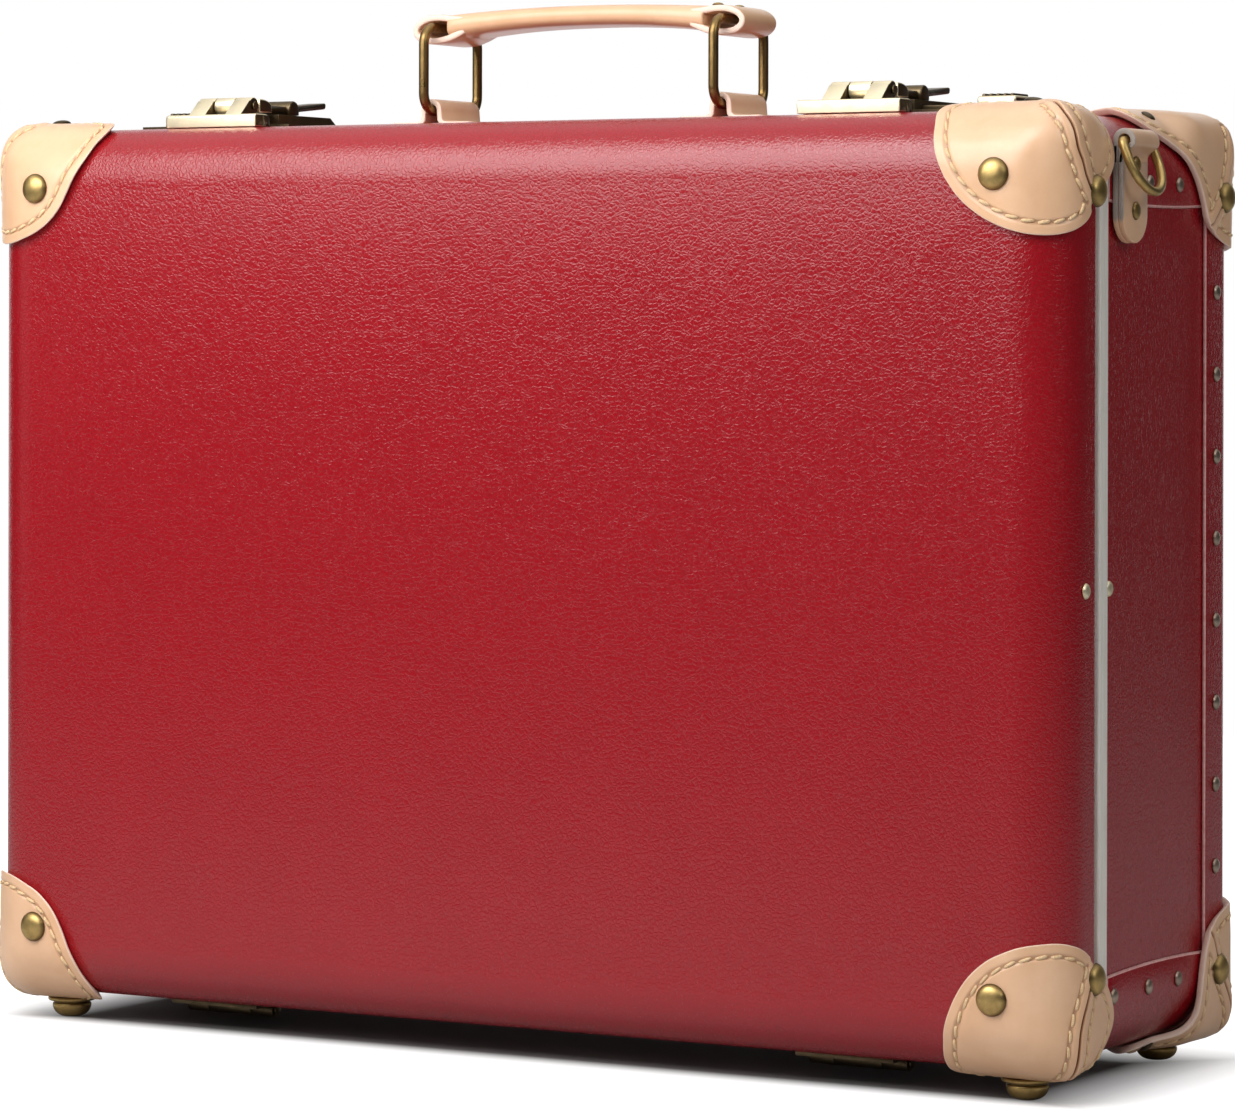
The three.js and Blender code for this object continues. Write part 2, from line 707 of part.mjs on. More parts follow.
function lockCase(outward) {
  const inner = -outward * lockPlateInner;
  const outer = outward * lockPlateOuter;
  const from = Math.min(inner, outer);
  const to = Math.max(inner, outer);
  const plate = box(from, to, lockPlateStart, lockPlateEnd, clearance, lockPlateThickness);
  const profile = polygon([
    [lockCaseStart, clearance],
    [lockCaseEnd + lockCaseSlope, clearance],
    [lockCaseEnd + lockCaseSlope, lockPlateThickness],
    [lockCaseEnd, lockCaseHeight],
    [lockCaseStart, lockCaseHeight],
  ]);
  const raised = extrudeAlong('x', profile, -lockCaseHalfWidth, lockCaseHalfWidth);
  const channelHalf = haspNibWidth / 2 + clearance;
  const channelEnd = haspNibDepth + haspNibLength + clearance;
  const channelStart = lockCaseStart - overrun;
  const channelLow = lockPlateThickness + clearance;
  const channelHigh = lockCaseHeight + overrun;
  const channel = box(-channelHalf, channelHalf, channelStart, channelEnd, channelLow, channelHigh);
  const boltMiddle = haspNibDepth + haspNibLength / 2;
  const tunnelHalf = boltWidth / 2 + clearance;
  const tunnelLow = lockPlateThickness + clearance / 2;
  const tunnelHigh = lockPlateThickness + boltThickness + 2 * clearance;
  const tunnelFrom = outward > 0 ? 0 : -lockCaseHalfWidth - overrun;
  const tunnelTo = outward > 0 ? lockCaseHalfWidth + overrun : 0;
  const tunnelStart = boltMiddle - tunnelHalf;
  const tunnelEnd = boltMiddle + tunnelHalf;
  const tunnel = box(tunnelFrom, tunnelTo, tunnelStart, tunnelEnd, tunnelLow, tunnelHigh);
  return cut(join(plate, raised), channel, tunnel);
}

function thumbSlide(outward) {
  const low = lockPlateThickness + clearance;
  const padStart = slideMiddleOffset - slideWidth / 2;
  const padEnd = slideMiddleOffset + slideWidth / 2;
  const pad = box(padStart, padEnd, slideStart, slideEnd, low, slideHeight - slideRibHeight);
  const boltMiddle = haspNibDepth + haspNibLength / 2;
  const boltFrom = haspNibWidth / 2 + 2 * clearance;
  const boltHigh = lockPlateThickness + clearance + boltThickness;
  const boltHalf = boltWidth / 2;
  const bolt = box(boltFrom, slideMiddleOffset, boltMiddle - boltHalf, boltMiddle + boltHalf, low, boltHigh);
  const parts = [pad, bolt];
  const pitch = slideWidth / (slideRibCount + 1);
  for (let rib = 1; rib <= slideRibCount; rib += 1) {
    const ribStart = padStart + rib * pitch - slideRibWidth / 2;
    const ribEnd = ribStart + slideRibWidth;
    parts.push(box(ribStart, ribEnd, slideStart, slideEnd, low + boltThickness, slideHeight));
  }
  const slide = join(...parts);
  slide.scale(outward, 1, 1);
  return slide;
}

function pin(radius, span, depth, height) {
  const half = span / 2 + clearance;
  const headRadius = radius * pinHeadShare;
  const parts = [rodAlongX(radius, -half, half, depth, height)];
  for (const [from, to] of [[-half - pinHead, -half], [half, half + pinHead]]) {
    parts.push(rodAlongX(headRadius, from, to, depth, height));
  }
  return join(...parts);
}

for (const [sideName, sideX] of sides) {
  const latch = new THREE.Group();
  latch.position.set(sideX * latchOffset, 0, caseHeight);
  suitcase.add(latch);
  addPiece(`lid_bar_${sideName}`, latchBar(), finishes.brass, latch);
  addPiece(`hasp_${sideName}`, hasp(), finishes.brass, latch);
  const haspPin = pin(haspPinRadius, knuckleSpan, haspAxisDepth, haspAxisHeight);
  addPiece(`hasp_pin_${sideName}`, haspPin, finishes.brass, latch);
  addPiece(`lock_case_${sideName}`, lockCase(sideX), finishes.brass, latch);
  addPiece(`thumb_slide_${sideName}`, thumbSlide(sideX), finishes.brass, latch);
}

// Hinge under the seam: the lid leaf has the middle knuckle, the base leaf the outer two.
function hingeLeaf(isLid) {
  const half = hingeWidth / 2;
  const low = -(clearance + hingeLeafThickness);
  const edge = isLid ? -1 : 1;
  const nearKnuckle = hingeAxisDepth + edge * (hingeKnuckleRadius + clearance);
  const far = isLid ? lidLeafStart : baseLeafEnd;
  const leaf = box(-half, half, Math.min(nearKnuckle, far), Math.max(nearKnuckle, far), low, -clearance);
  const middle = hingeMiddleLength / 2;
  const outerFrom = middle + clearance;
  const spans = isLid ? [[-middle, middle]] : [[-half, -outerFrom], [outerFrom, half]];
  const parts = [leaf];
  for (const [from, to] of spans) {
    parts.push(rodAlongX(hingeKnuckleRadius, from, to, hingeAxisDepth, -hingeAxisDrop));
    const web = nearKnuckle + edge * hingeWebLap;
    parts.push(box(from, to, Math.min(hingeAxisDepth, web), Math.max(hingeAxisDepth, web), low, -clearance));
  }
  const bore = rodAlongX(hingePinRadius + clearance, -hingeWidth, hingeWidth, hingeAxisDepth, -hingeAxisDrop);
  return cut(join(...parts), bore);
}

for (const [sideName, sideX] of sides) {
  const hinge = new THREE.Group();
  hinge.position.set(sideX * hingeOffset, 0, 0);
  suitcase.add(hinge);
  addPiece(`hinge_lid_leaf_${sideName}`, hingeLeaf(true), finishes.brass, hinge);
  addPiece(`hinge_base_leaf_${sideName}`, hingeLeaf(false), finishes.brass, hinge);
  const hingePin = pin(hingePinRadius, hingeWidth, hingeAxisDepth, -hingeAxisDrop);
  addPiece(`hinge_pin_${sideName}`, hingePin, finishes.brass, hinge);
}

// Rectangular wire ring in the plane of depth and height, with round bends.
function wireLoop(outline, wireRadius, steps) {
  const points = outline.getPoints(steps).slice(0, -1);
  const vertices = [];
  const faces = [];
  const wireSides = roundSteps / 2;
  const count = points.length;
  for (let i = 0; i < count; i += 1) {
    const before = points[(i + count - 1) % count];
    const here = points[i];
    const after = points[(i + 1) % count];
    const inDirection = here.clone().sub(before).normalize();
    const outDirection = after.clone().sub(here).normalize();
    const tangent = inDirection.clone().add(outDirection).normalize();
    const stretch = 1 / Math.max(tangent.dot(outDirection), Math.SQRT1_2);
    const normal = new THREE.Vector2(-tangent.y, tangent.x);
    for (let side = 0; side < wireSides; side += 1) {
      const angle = (side / wireSides) * 2 * Math.PI;
      const out = wireRadius * Math.cos(angle) * stretch;
      vertices.push(wireRadius * Math.sin(angle), here.x + normal.x * out, here.y + normal.y * out);
    }
  }
  for (let i = 0; i < count; i += 1) {
    for (let side = 0; side < wireSides; side += 1) {
      const next = (side + 1) % wireSides;
      const a = i * wireSides + side;
      const b = i * wireSides + next;
      const c = ((i + 1) % count) * wireSides + side;
      const d = ((i + 1) % count) * wireSides + next;
      faces.push(a, b, d, a, d, c);
    }
  }
  const geometry = new THREE.BufferGeometry();
  geometry.setAttribute('position', new THREE.Float32BufferAttribute(vertices, 3));
  geometry.setIndex(faces);
  return geometry;
}

function roundedLoop(y0, y1, z0, z1, radius) {
  const path = new THREE.Path();
  path.moveTo(y0 + radius, z0);
  path.lineTo(y1 - radius, z0);
  path.absarc(y1 - radius, z0 + radius, radius, -Math.PI / 2, 0);
  path.lineTo(y1, z1 - radius);
  path.absarc(y1 - radius, z1 - radius, radius, 0, Math.PI / 2);
  path.lineTo(y0 + radius, z1);
  path.absarc(y0 + radius, z1 - radius, radius, Math.PI / 2, Math.PI);
  path.lineTo(y0, z0 + radius);
  path.absarc(y0 + radius, z0 + radius, radius, Math.PI, 1.5 * Math.PI);
  return path;
}

// Chape: a leather strap folded round the low bar of a ring, with a flange on each side.
function chape() {
  const flange = new THREE.Shape();
  const reach = chapeRadius + chapeFlange;
  flange.moveTo(-reach, clearance);
  flange.lineTo(reach, clearance);
  flange.lineTo(reach, chapeThickness);
  flange.lineTo(-reach, chapeThickness);
  const base = extrudeAlong('y', flange, -chapeWidth / 2, chapeWidth / 2);
  const web = extrudeAlong('y', polygon([
    [-chapeRadius, clearance],
    [chapeRadius, clearance],
    [chapeRadius, ringLowHeight],
    [-chapeRadius, ringLowHeight],
  ]), -chapeWidth / 2, chapeWidth / 2);
  const round = rodAlongY(chapeRadius, -chapeWidth / 2, chapeWidth / 2, 0, ringLowHeight);
  const bore = rodAlongY(loopBore, -chapeWidth, chapeWidth, 0, ringLowHeight);
  return cut(join(base, web, round), bore);
}

for (const [sideName, sideX] of sides) {
  const mount = new THREE.Group();
  mount.position.set(sideX * handleRingOffset, handleDepth, caseHeight);
  suitcase.add(mount);
  addPiece(`handle_chape_${sideName}`, chape(), finishes.naturalLeather, mount);
  const outline = roundedLoop(-ringSpan / 2, ringSpan / 2, ringLowHeight, ringHighHeight, ringBend);
  addPiece(`handle_ring_${sideName}`, wireLoop(outline, ringWireRadius, ringSteps), finishes.brass, mount);
}

// Strap that comes out of the sleeve and turns back round the bar, drawn at the right end.
function gripLoop(sideX) {
  const middle = (gripLoopHigh + gripLoopLow) / 2;
  const half = (gripLoopHigh - gripLoopLow) / 2;
  const outline = (startX, inset) => {
    const shape = new THREE.Shape();
    shape.moveTo(startX, middle - half + inset);
    shape.absellipse(handleRingOffset, middle, gripLoopReach - inset, half - inset, -Math.PI / 2, Math.PI / 2);
    shape.lineTo(startX, middle + half - inset);
    return shape;
  };
  const strap = extrudeAlong('y', outline(gripHalfLength - gripLoopOverlap, 0), -gripWidth / 2, gripWidth / 2);
  const slot = extrudeAlong('y', outline(gripHalfLength + clearance, gripStrap), -gripWidth, gripWidth);
  strap.scale(sideX, 1, 1);
  slot.scale(sideX, 1, 1);
  return cut(strap, slot);
}

// Grip: an arched padded sleeve, deeper at its ends, with a strap loop round each top bar.
function grip() {
  const stations = gripStations;
  const around = roundSteps;
  const vertices = [];
  const faces = [];
  for (let station = 0; station < stations; station += 1) {
    const along = -1 + 2 * station / (stations - 1);
    const bow = along * along;
    const top = gripTopMiddle + (gripTopEnd - gripTopMiddle) * bow;
    const under = gripUnderMiddle + (gripUnderEnd - gripUnderMiddle) * bow;
    const height = (top + under) / 2;
    const thickness = top - under;
    for (let i = 0; i < around; i += 1) {
      const angle = (i / around) * 2 * Math.PI;
      const c = Math.cos(angle);
      const s = Math.sin(angle);
      const square = Math.sign(c) * Math.abs(c) ** gripSquareShare;
      vertices.push(along * gripHalfLength, square * gripWidth / 2, height + s * thickness / 2);
    }
  }
  for (let station = 0; station < stations - 1; station += 1) {
    for (let i = 0; i < around; i += 1) {
      const next = (i + 1) % around;
      const a = station * around + i;
      const b = station * around + next;
      faces.push(a, b, b + around, a, b + around, a + around);
    }
  }
  for (const end of [0, stations - 1]) {
    const centre = vertices.length / 3;
    const middle = (gripTopEnd + gripUnderEnd) / 2;
    vertices.push(end === 0 ? -gripHalfLength : gripHalfLength, 0, middle);
    for (let i = 0; i < around; i += 1) {
      const a = end * around + i;
      const b = end * around + (i + 1) % around;
      if (end === 0) faces.push(centre, b, a);
      else faces.push(centre, a, b);
    }
  }
  const sleeve = new THREE.BufferGeometry();
  sleeve.setAttribute('position', new THREE.Float32BufferAttribute(vertices, 3));
  sleeve.setIndex(faces);
  return join(sleeve, gripLoop(-1), gripLoop(1));
}

const gripMount = new THREE.Group();
gripMount.position.set(0, handleDepth, caseHeight);
suitcase.add(gripMount);
addPiece('handle_grip', grip(), finishes.naturalLeather, gripMount);

// Side tab: a strap folded over the straight bar of the D ring, its low end round.
function sideTab() {
  const barDrop = tabTopDrop + tabLoopRadius;
  const barOut = tabLoopRadius + clearance;
  const flat = new THREE.Shape();
  const half = tabWidth / 2;
  const low = -(tabTopDrop + tabLength - half);
  flat.moveTo(-half, -barDrop);
  flat.lineTo(-half, low);
  flat.absarc(0, low, half, Math.PI, 2 * Math.PI);
  flat.lineTo(half, -barDrop);
  const strap = extrudeAlong('x', flat, clearance, clearance + 2 * tabLayer);
  const fold = new THREE.CylinderGeometry(tabLoopRadius, tabLoopRadius, tabWidth, roundSteps);
  fold.translate(barOut, 0, -barDrop);
  const bore = new THREE.CylinderGeometry(tabBore, tabBore, 2 * tabWidth, roundSteps);
  bore.translate(barOut, 0, -barDrop);
  return cut(join(strap, fold), bore);
}

function dRing() {
  const half = dRingSpan / 2;
  const path = new THREE.Path();
  path.moveTo(half - dRingWireRadius, 0);
  path.lineTo(half, -dRingWireRadius);
  path.lineTo(half, -(dRingDrop - half));
  path.absarc(0, -(dRingDrop - half), half, 0, -Math.PI, true);
  path.lineTo(-half, -dRingWireRadius);
  path.lineTo(dRingWireRadius - half, 0);
  path.lineTo(half - dRingWireRadius, 0);
  return wireLoop(path, dRingWireRadius, dRingSteps);
}

for (const [sideName, sideX] of sides) {
  const mount = new THREE.Group();
  mount.position.set(sideX * halfWidth, tabDepth, caseHeight);
  mount.rotation.z = sideX > 0 ? 0 : Math.PI;
  suitcase.add(mount);
  addPiece(`tab_strap_${sideName}`, sideTab(), finishes.naturalLeather, mount);
  const ring = addPiece(`tab_d_ring_${sideName}`, dRing(), finishes.brass, mount);
  ring.position.set(tabLoopRadius + clearance, 0, -(tabTopDrop + tabLoopRadius));
  ring.rotation.y = -dRingTilt;
}

export default suitcase;
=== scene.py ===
"""Looks of a hard trunk suitcase: red leather shells, natural leather corner guards, antique brass.

Shapes are worked out in case space, in millimetres: x to the right, d the depth behind the front
plane of the lid and h the height above the underside of the case. Case.to_frame turns arrays of
such points into the frame's metres.
"""

import logging
import math
from dataclasses import dataclass, field
from enum import Enum

import bmesh
import bpy
import numpy as np
from mathutils import Matrix, Vector
from numpy.typing import NDArray


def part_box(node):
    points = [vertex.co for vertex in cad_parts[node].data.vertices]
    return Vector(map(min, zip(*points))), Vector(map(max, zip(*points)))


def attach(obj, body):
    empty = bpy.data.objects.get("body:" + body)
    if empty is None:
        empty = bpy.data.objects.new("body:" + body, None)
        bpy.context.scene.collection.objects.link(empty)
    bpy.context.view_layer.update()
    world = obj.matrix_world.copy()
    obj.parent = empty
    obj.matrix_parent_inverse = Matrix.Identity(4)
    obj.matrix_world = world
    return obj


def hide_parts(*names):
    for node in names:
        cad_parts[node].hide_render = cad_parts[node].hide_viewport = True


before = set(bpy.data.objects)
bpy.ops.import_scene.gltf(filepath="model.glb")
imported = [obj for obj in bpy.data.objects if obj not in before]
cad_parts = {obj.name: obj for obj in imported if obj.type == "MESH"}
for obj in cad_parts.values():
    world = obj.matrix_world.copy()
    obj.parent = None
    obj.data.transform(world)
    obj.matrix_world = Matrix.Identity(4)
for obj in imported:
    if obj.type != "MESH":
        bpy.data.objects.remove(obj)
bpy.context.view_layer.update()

log = logging.getLogger("suitcase")
Array = NDArray[np.float64]
MILLIMETRE = 0.001
TAU = 2 * math.pi


class Side(Enum):
    """The left and right halves of the case, with the sign of X."""

    LEFT = -1
    RIGHT = 1

    @property
    def word(self) -> str:
        """The side's name as the nodes write it."""
        return self.name.lower()


class Level(Enum):
    """The top and bottom of the case."""

    TOP = "top"
    BOTTOM = "bottom"


class Face(Enum):
    """The front and back of the case."""

    FRONT = "front"
    BACK = "back"


# Case space


@dataclass(frozen=True)
class Case:
    """Sizes of the case in millimetres, and where it lies in the frame."""

    width: float
    height: float
    depth: float
    lid_depth: float
    front: float
    floor: float
    corner_radius: float = 24.0
    lid_edge_radius: float = 22.0
    back_edge_radius: float = 8.0
    base_inset: float = 0.9
    crown: float = 3.2
    crown_reach: float = 20.0
    rail_start: float = 34.3
    rail_width: float = 7.8
    strip_drop: float = 33.5
    binding_width: float = 23.5

    @classmethod
    def from_frame(cls) -> "Case":
        """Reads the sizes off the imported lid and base."""
        low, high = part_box("lid_shell")
        _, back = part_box("base_shell")
        scale = 1 / MILLIMETRE
        return cls(
            width=(high.x - low.x) * scale,
            height=(high.z - low.z) * scale,
            depth=(back.y - low.y) * scale + cls.base_inset,
            lid_depth=(high.y - low.y) * scale,
            front=low.y * scale,
            floor=low.z * scale,
        )

    def crowned(self, points: Array) -> Array:
        """Draws the front of the lid back towards its edges, as pressed board is.

        With a and b the distances in from the sides and from the top or bottom, it goes back by
        crown (1 - (1 - exp(-a / reach)) (1 - exp(-b / reach))) (1 - d / r)^2, r the edge's radius.
        """
        x, d, h = np.moveaxis(points, -1, 0)
        from_side = np.maximum(self.width / 2 - np.abs(x), 0)
        from_top = np.maximum(self.height / 2 - np.abs(h - self.height / 2), 0)
        inner = (1 - np.exp(-from_side / self.crown_reach)) * (1 - np.exp(-from_top / self.crown_reach))
        share = np.clip(1 - d / self.lid_edge_radius, 0, 1) ** 2
        return np.stack([x, d + self.crown * (1 - inner) * share, h], axis=-1)

    def to_frame(self, points: Array) -> Array:
        """Case millimetres (x, d, h) to frame metres (x, y, z), the front crowned."""
        return (self.crowned(points) + np.array([0.0, self.front, self.floor])) * MILLIMETRE

    def from_box(self, node: str) -> tuple[Array, Array]:
        """The lowest and highest corner of a node, in case millimetres."""
        shift = np.array([0.0, self.front, self.floor])
        low, high = (np.array(corner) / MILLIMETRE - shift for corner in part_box(node))
        return low, high

    def section(self, inset: Array, steps: int = 16) -> Array:
        """Rounded rectangles seen from the front, one row for each inset.

        Each corner is a quarter circle about its own centre: (centre x + r cos a, centre h + r sin a).

        Args:
            inset: How far each rectangle is drawn in from the case's outline.
            steps: Facets in a quarter circle.

        Returns:
            Points (x, h) of shape (rows, 4 * (steps + 1), 2), anticlockwise from the right side.
        """
        inset = np.asarray(inset, float)[:, None]
        radius = np.maximum(self.corner_radius - inset, 0.6)
        angle = (np.arange(4)[:, None] * math.pi / 2 + np.linspace(0, math.pi / 2, steps + 1)).ravel()[None]
        sign_x = np.repeat([1.0, -1.0, -1.0, 1.0], steps + 1)[None]
        sign_h = np.repeat([1.0, 1.0, -1.0, -1.0], steps + 1)[None]
        x = sign_x * (self.width / 2 - inset - radius) + radius * np.cos(angle)
        h = self.height / 2 + sign_h * (self.height / 2 - inset - radius) + radius * np.sin(angle)
        return np.stack([x, h], axis=-1)

    def loft(self, inset: Array, depth: Array, steps: int = 16) -> Array:
        """Carries the section through depths: a grid (rows, around, 3) of (x, d, h)."""
        flat = self.section(inset, steps)
        rows = np.broadcast_to(np.asarray(depth, float)[:, None], flat.shape[:2])
        return np.stack([flat[..., 0], rows, flat[..., 1]], axis=-1)

    def round_edge(self, inset: float, face: Face, steps: int = 14) -> tuple[Array, Array]:
        """Quarter circle from the side to the front or back plane, as insets and depths."""
        front = face is Face.FRONT
        radius = (self.lid_edge_radius if front else self.back_edge_radius) - inset
        angle = np.linspace(0, math.pi / 2, steps + 1)
        side = inset + radius * (1 - np.cos(angle))
        into = inset + radius * (1 - np.sin(angle))
        return side, into if front else self.depth - into


# Meshes


def grid_quads(
    rows: int, columns: int, close_rows: bool = False, close_columns: bool = False
) -> NDArray[np.int64]:
    """Corner numbers of the quads of a grid of points.

    Args:
        rows: Rows of points.
        columns: Points in a row.
        close_rows: Joins the last row to the first.
        close_columns: Joins the end of each row to its start.

    Returns:
        An array (quads, 4).
    """
    i = np.arange(rows if close_rows else rows - 1)[:, None]
    j = np.arange(columns if close_columns else columns - 1)[None]
    i2, j2 = (i + 1) % rows, (j + 1) % columns
    corners = [i * columns + j, i * columns + j2, i2 * columns + j2, i2 * columns + j]
    return np.stack([np.broadcast_to(c, (i.size, j.size)) for c in corners], axis=-1).reshape(-1, 4)


@dataclass
class Shell:
    """One closed skin: welded points, quads (a triangle repeats a corner), a slot and a tint for each."""

    points: Array
    faces: NDArray[np.int64]
    slots: NDArray[np.int64]
    tint: Array

    @classmethod
    def weld(
        cls, patches: list[tuple[Array, NDArray[np.int64], int, Array | None]], tie: float = 1e-3
    ) -> "Shell":
        """Joins patches whose borders share points, and turns all faces out.

        The signed volume is the sum over triangles of a . (b x c) / 6. If it is negative, the
        faces are turned over.

        Args:
            patches: Points, quads, material slot and tint (or None) of each patch.
            tie: Points nearer than this, in millimetres, are one point.

        Returns:
            The closed skin.
        """
        points, faces, slots, tints, start = [], [], [], [], 0
        for patch, quads, slot, tint in patches:
            flat = patch.reshape(-1, 3)
            points.append(flat)
            faces.append(quads + start)
            slots.append(np.full(len(quads), slot))
            tints.append(np.ones(len(flat)) if tint is None else np.asarray(tint, float).ravel())
            start += len(flat)
        all_points, all_tints = np.concatenate(points), np.concatenate(tints)
        rounded = np.round(all_points / tie)
        _, first, where = np.unique(rounded, axis=0, return_index=True, return_inverse=True)
        quads, slot = where.ravel()[np.concatenate(faces)], np.concatenate(slots)
        distinct = np.array([(quads != np.roll(quads, k, axis=1)).sum(axis=1) for k in (1, 2)])
        keep = (distinct[0] >= 3) & (distinct[1] >= 2)
        quads, slot = quads[keep], slot[keep]
        used, tint = all_points[first], all_tints[first]
        a, b, c, d = (used[quads[:, k]] for k in range(4))
        volume = np.einsum("ij,ij->", a, np.cross(b, c)) + np.einsum("ij,ij->", a, np.cross(c, d))
        return cls(used, quads if volume > 0 else quads[:, ::-1], slot, tint)

    def moved(self, matrix: Array) -> "Shell":
        """The skin through a 3 x 4 matrix, turned over again if the matrix is a mirror."""
        points = self.points @ matrix[:, :3].T + matrix[:, 3]
        faces = self.faces if np.linalg.det(matrix[:, :3]) > 0 else self.faces[:, ::-1]
        return Shell(points, faces, self.slots, self.tint)


def tube_shell(
    grid: Array, closed: bool = False, slot: int = 0, tint: Array | None = None, cap_slot: int | None = None
) -> Shell:
    """A tube from rings of points, capped by fans unless it is closed on itself.

    Args:
        grid: The rings, (rings, around, 3).
        closed: Whether the last ring joins the first.
        slot: Material slot.
        tint: Tint of each point, (rings, around).
        cap_slot: Material slot of the caps, if another.

    Returns:
        The closed skin.
    """
    caps = slot if cap_slot is None else cap_slot
    rings, around = grid.shape[:2]
    patches = [(grid, grid_quads(rings, around, closed, True), slot, tint)]
    if not closed:
        for end in (0, -1):
            ring = np.concatenate([grid[end], grid[end].mean(axis=0)[None]])
            j = np.arange(around)
            quads = np.stack([np.full(around, around), j, (j + 1) % around, (j + 1) % around], axis=-1)
            value = None if tint is None else np.append(tint[end], tint[end].mean())
            patches.append((ring, quads[:, ::-1] if end == 0 else quads, caps, value))
    return Shell.weld(patches)


def plate(outer: Array, inner: Array, rim_slot: int = 0) -> Shell:
    """A closed skin from two matching grids, one on each side, joined round their borders.

    Args:
        outer: Points of the outside, (rows, columns, 3).
        inner: Points of the inside, in the same order.
        rim_slot: Material slot of the border.

    Returns:
        The closed skin.
    """
    rows, columns = outer.shape[:2]
    quads = grid_quads(rows, columns)
    patches = [(outer, quads, 0, None), (inner, quads[:, ::-1], 0, None)]
    borders = [(outer[:, 0], inner[:, 0], 1), (outer[:, -1], inner[:, -1], -1)]
    borders += [(outer[0], inner[0], -1), (outer[-1], inner[-1], 1)]
    for near, far, way in borders:
        patches.append((np.stack([near, far]), grid_quads(2, len(near))[:, ::way], rim_slot, None))
    return Shell.weld(patches)


def piece(
    case: Case, name: str, shells: list[Shell], materials: list[bpy.types.Material]
) -> bpy.types.Object:
    """Puts skins into one smooth mesh object at the origin.

    Args:
        case: The case, which places the points in the frame.
        name: The piece's name.
        shells: Its closed skins.
        materials: Its material slots.

    Returns:
        The new object, linked to the scene.
    """
    points = case.to_frame(np.concatenate([s.points for s in shells]))
    starts = np.cumsum([0] + [len(s.points) for s in shells[:-1]])
    quads = np.concatenate([s.faces + start for s, start in zip(shells, starts)])
    slots = np.concatenate([s.slots for s in shells])
    # A quad that repeats a neighbouring corner is a triangle: the repeat is left out.
    repeat = quads == np.roll(quads, -1, axis=1)
    keep = ~repeat
    counts = keep.sum(axis=1)
    mesh = bpy.data.meshes.new(name)
    mesh.vertices.add(len(points))
    mesh.vertices.foreach_set("co", points.ravel())
    mesh.loops.add(int(counts.sum()))
    mesh.loops.foreach_set("vertex_index", quads[keep])
    mesh.polygons.add(len(counts))
    mesh.polygons.foreach_set("loop_start", np.concatenate([[0], np.cumsum(counts)[:-1]]))
    mesh.polygons.foreach_set("material_index", slots)
    mesh.polygons.foreach_set("use_smooth", np.ones(len(counts), bool))
    tint = mesh.attributes.new("tint", "FLOAT", "POINT")
    tint.data.foreach_set("value", np.concatenate([s.tint for s in shells]))
    mesh.update(calc_edges=True)
    mesh.validate()
    thing = bpy.data.objects.new(name, mesh)
    for material in materials:
        mesh.materials.append(material)
    bpy.context.scene.collection.objects.link(thing)
    return thing


def settle(thing: bpy.types.Object, body: str, slot: str, *nodes: str) -> bpy.types.Object:
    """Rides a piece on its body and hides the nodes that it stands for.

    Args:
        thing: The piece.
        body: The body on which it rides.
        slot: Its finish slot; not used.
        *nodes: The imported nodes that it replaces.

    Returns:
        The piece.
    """
    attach(thing, body)
    if nodes:
        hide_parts(*nodes)
    log.info("%s rides on %s, %d faces", thing.name, body, len(thing.data.polygons))
    return thing


# Profiles and paths


def arc(centre: tuple[float, float], radius: float, start: float, end: float, steps: int = 6) -> Array:
    """Points of an arc in a plane, angles in degrees: centre + radius (cos a, sin a)."""
    angle = np.radians(np.linspace(start, end, steps + 1))
    return np.array(centre) + radius * np.stack([np.cos(angle), np.sin(angle)], axis=-1)


def soft_outline(corners: list[tuple[float, float, float]], steps: int = 4) -> Array:
    """A closed outline whose corners are rounded.

    At each corner the two edges are left at a distance t = radius / tan(half the corner's angle),
    and a quadratic curve with the corner as its middle control point joins them.

    Args:
        corners: Places and radii (a, b, radius), in order.
        steps: Facets in a rounded corner.

    Returns:
        Points (n, 2).
    """
    places = np.array([c[:2] for c in corners], float)
    out = []
    for k, (_, _, radius) in enumerate(corners):
        here, before, after = places[k], places[k - 1], places[(k + 1) % len(places)]
        into = (before - here) / np.linalg.norm(before - here)
        away = (after - here) / np.linalg.norm(after - here)
        if radius == 0:
            out.append(here[None])
            continue
        half = math.acos(float(np.clip(into @ away, -1, 1))) / 2
        shorter = min(np.linalg.norm(before - here), np.linalg.norm(after - here))
        reach = min(radius / math.tan(half), shorter * 0.49)
        t = np.linspace(0, 1, steps + 1)[:, None]
        a, b = here + into * reach, here + away * reach
        out.append((1 - t) ** 2 * a + 2 * t * (1 - t) * here + t**2 * b)
    return np.concatenate(out)


def drawn_in(outline: Array, amount: float) -> Array:
    """A closed outline moved inwards along the mean normal of its edges at each point."""
    edge = np.roll(outline, -1, axis=0) - outline
    normal = np.stack([edge[:, 1], -edge[:, 0]], axis=-1)
    normal /= np.maximum(np.linalg.norm(normal, axis=1, keepdims=True), 1e-9)
    mean = normal + np.roll(normal, 1, axis=0)
    mean /= np.maximum(np.linalg.norm(mean, axis=1, keepdims=True), 1e-9)
    area = (outline[:, 0] * np.roll(outline[:, 1], -1) - outline[:, 1] * np.roll(outline[:, 0], -1)).sum()
    return outline - np.sign(area) * amount * mean


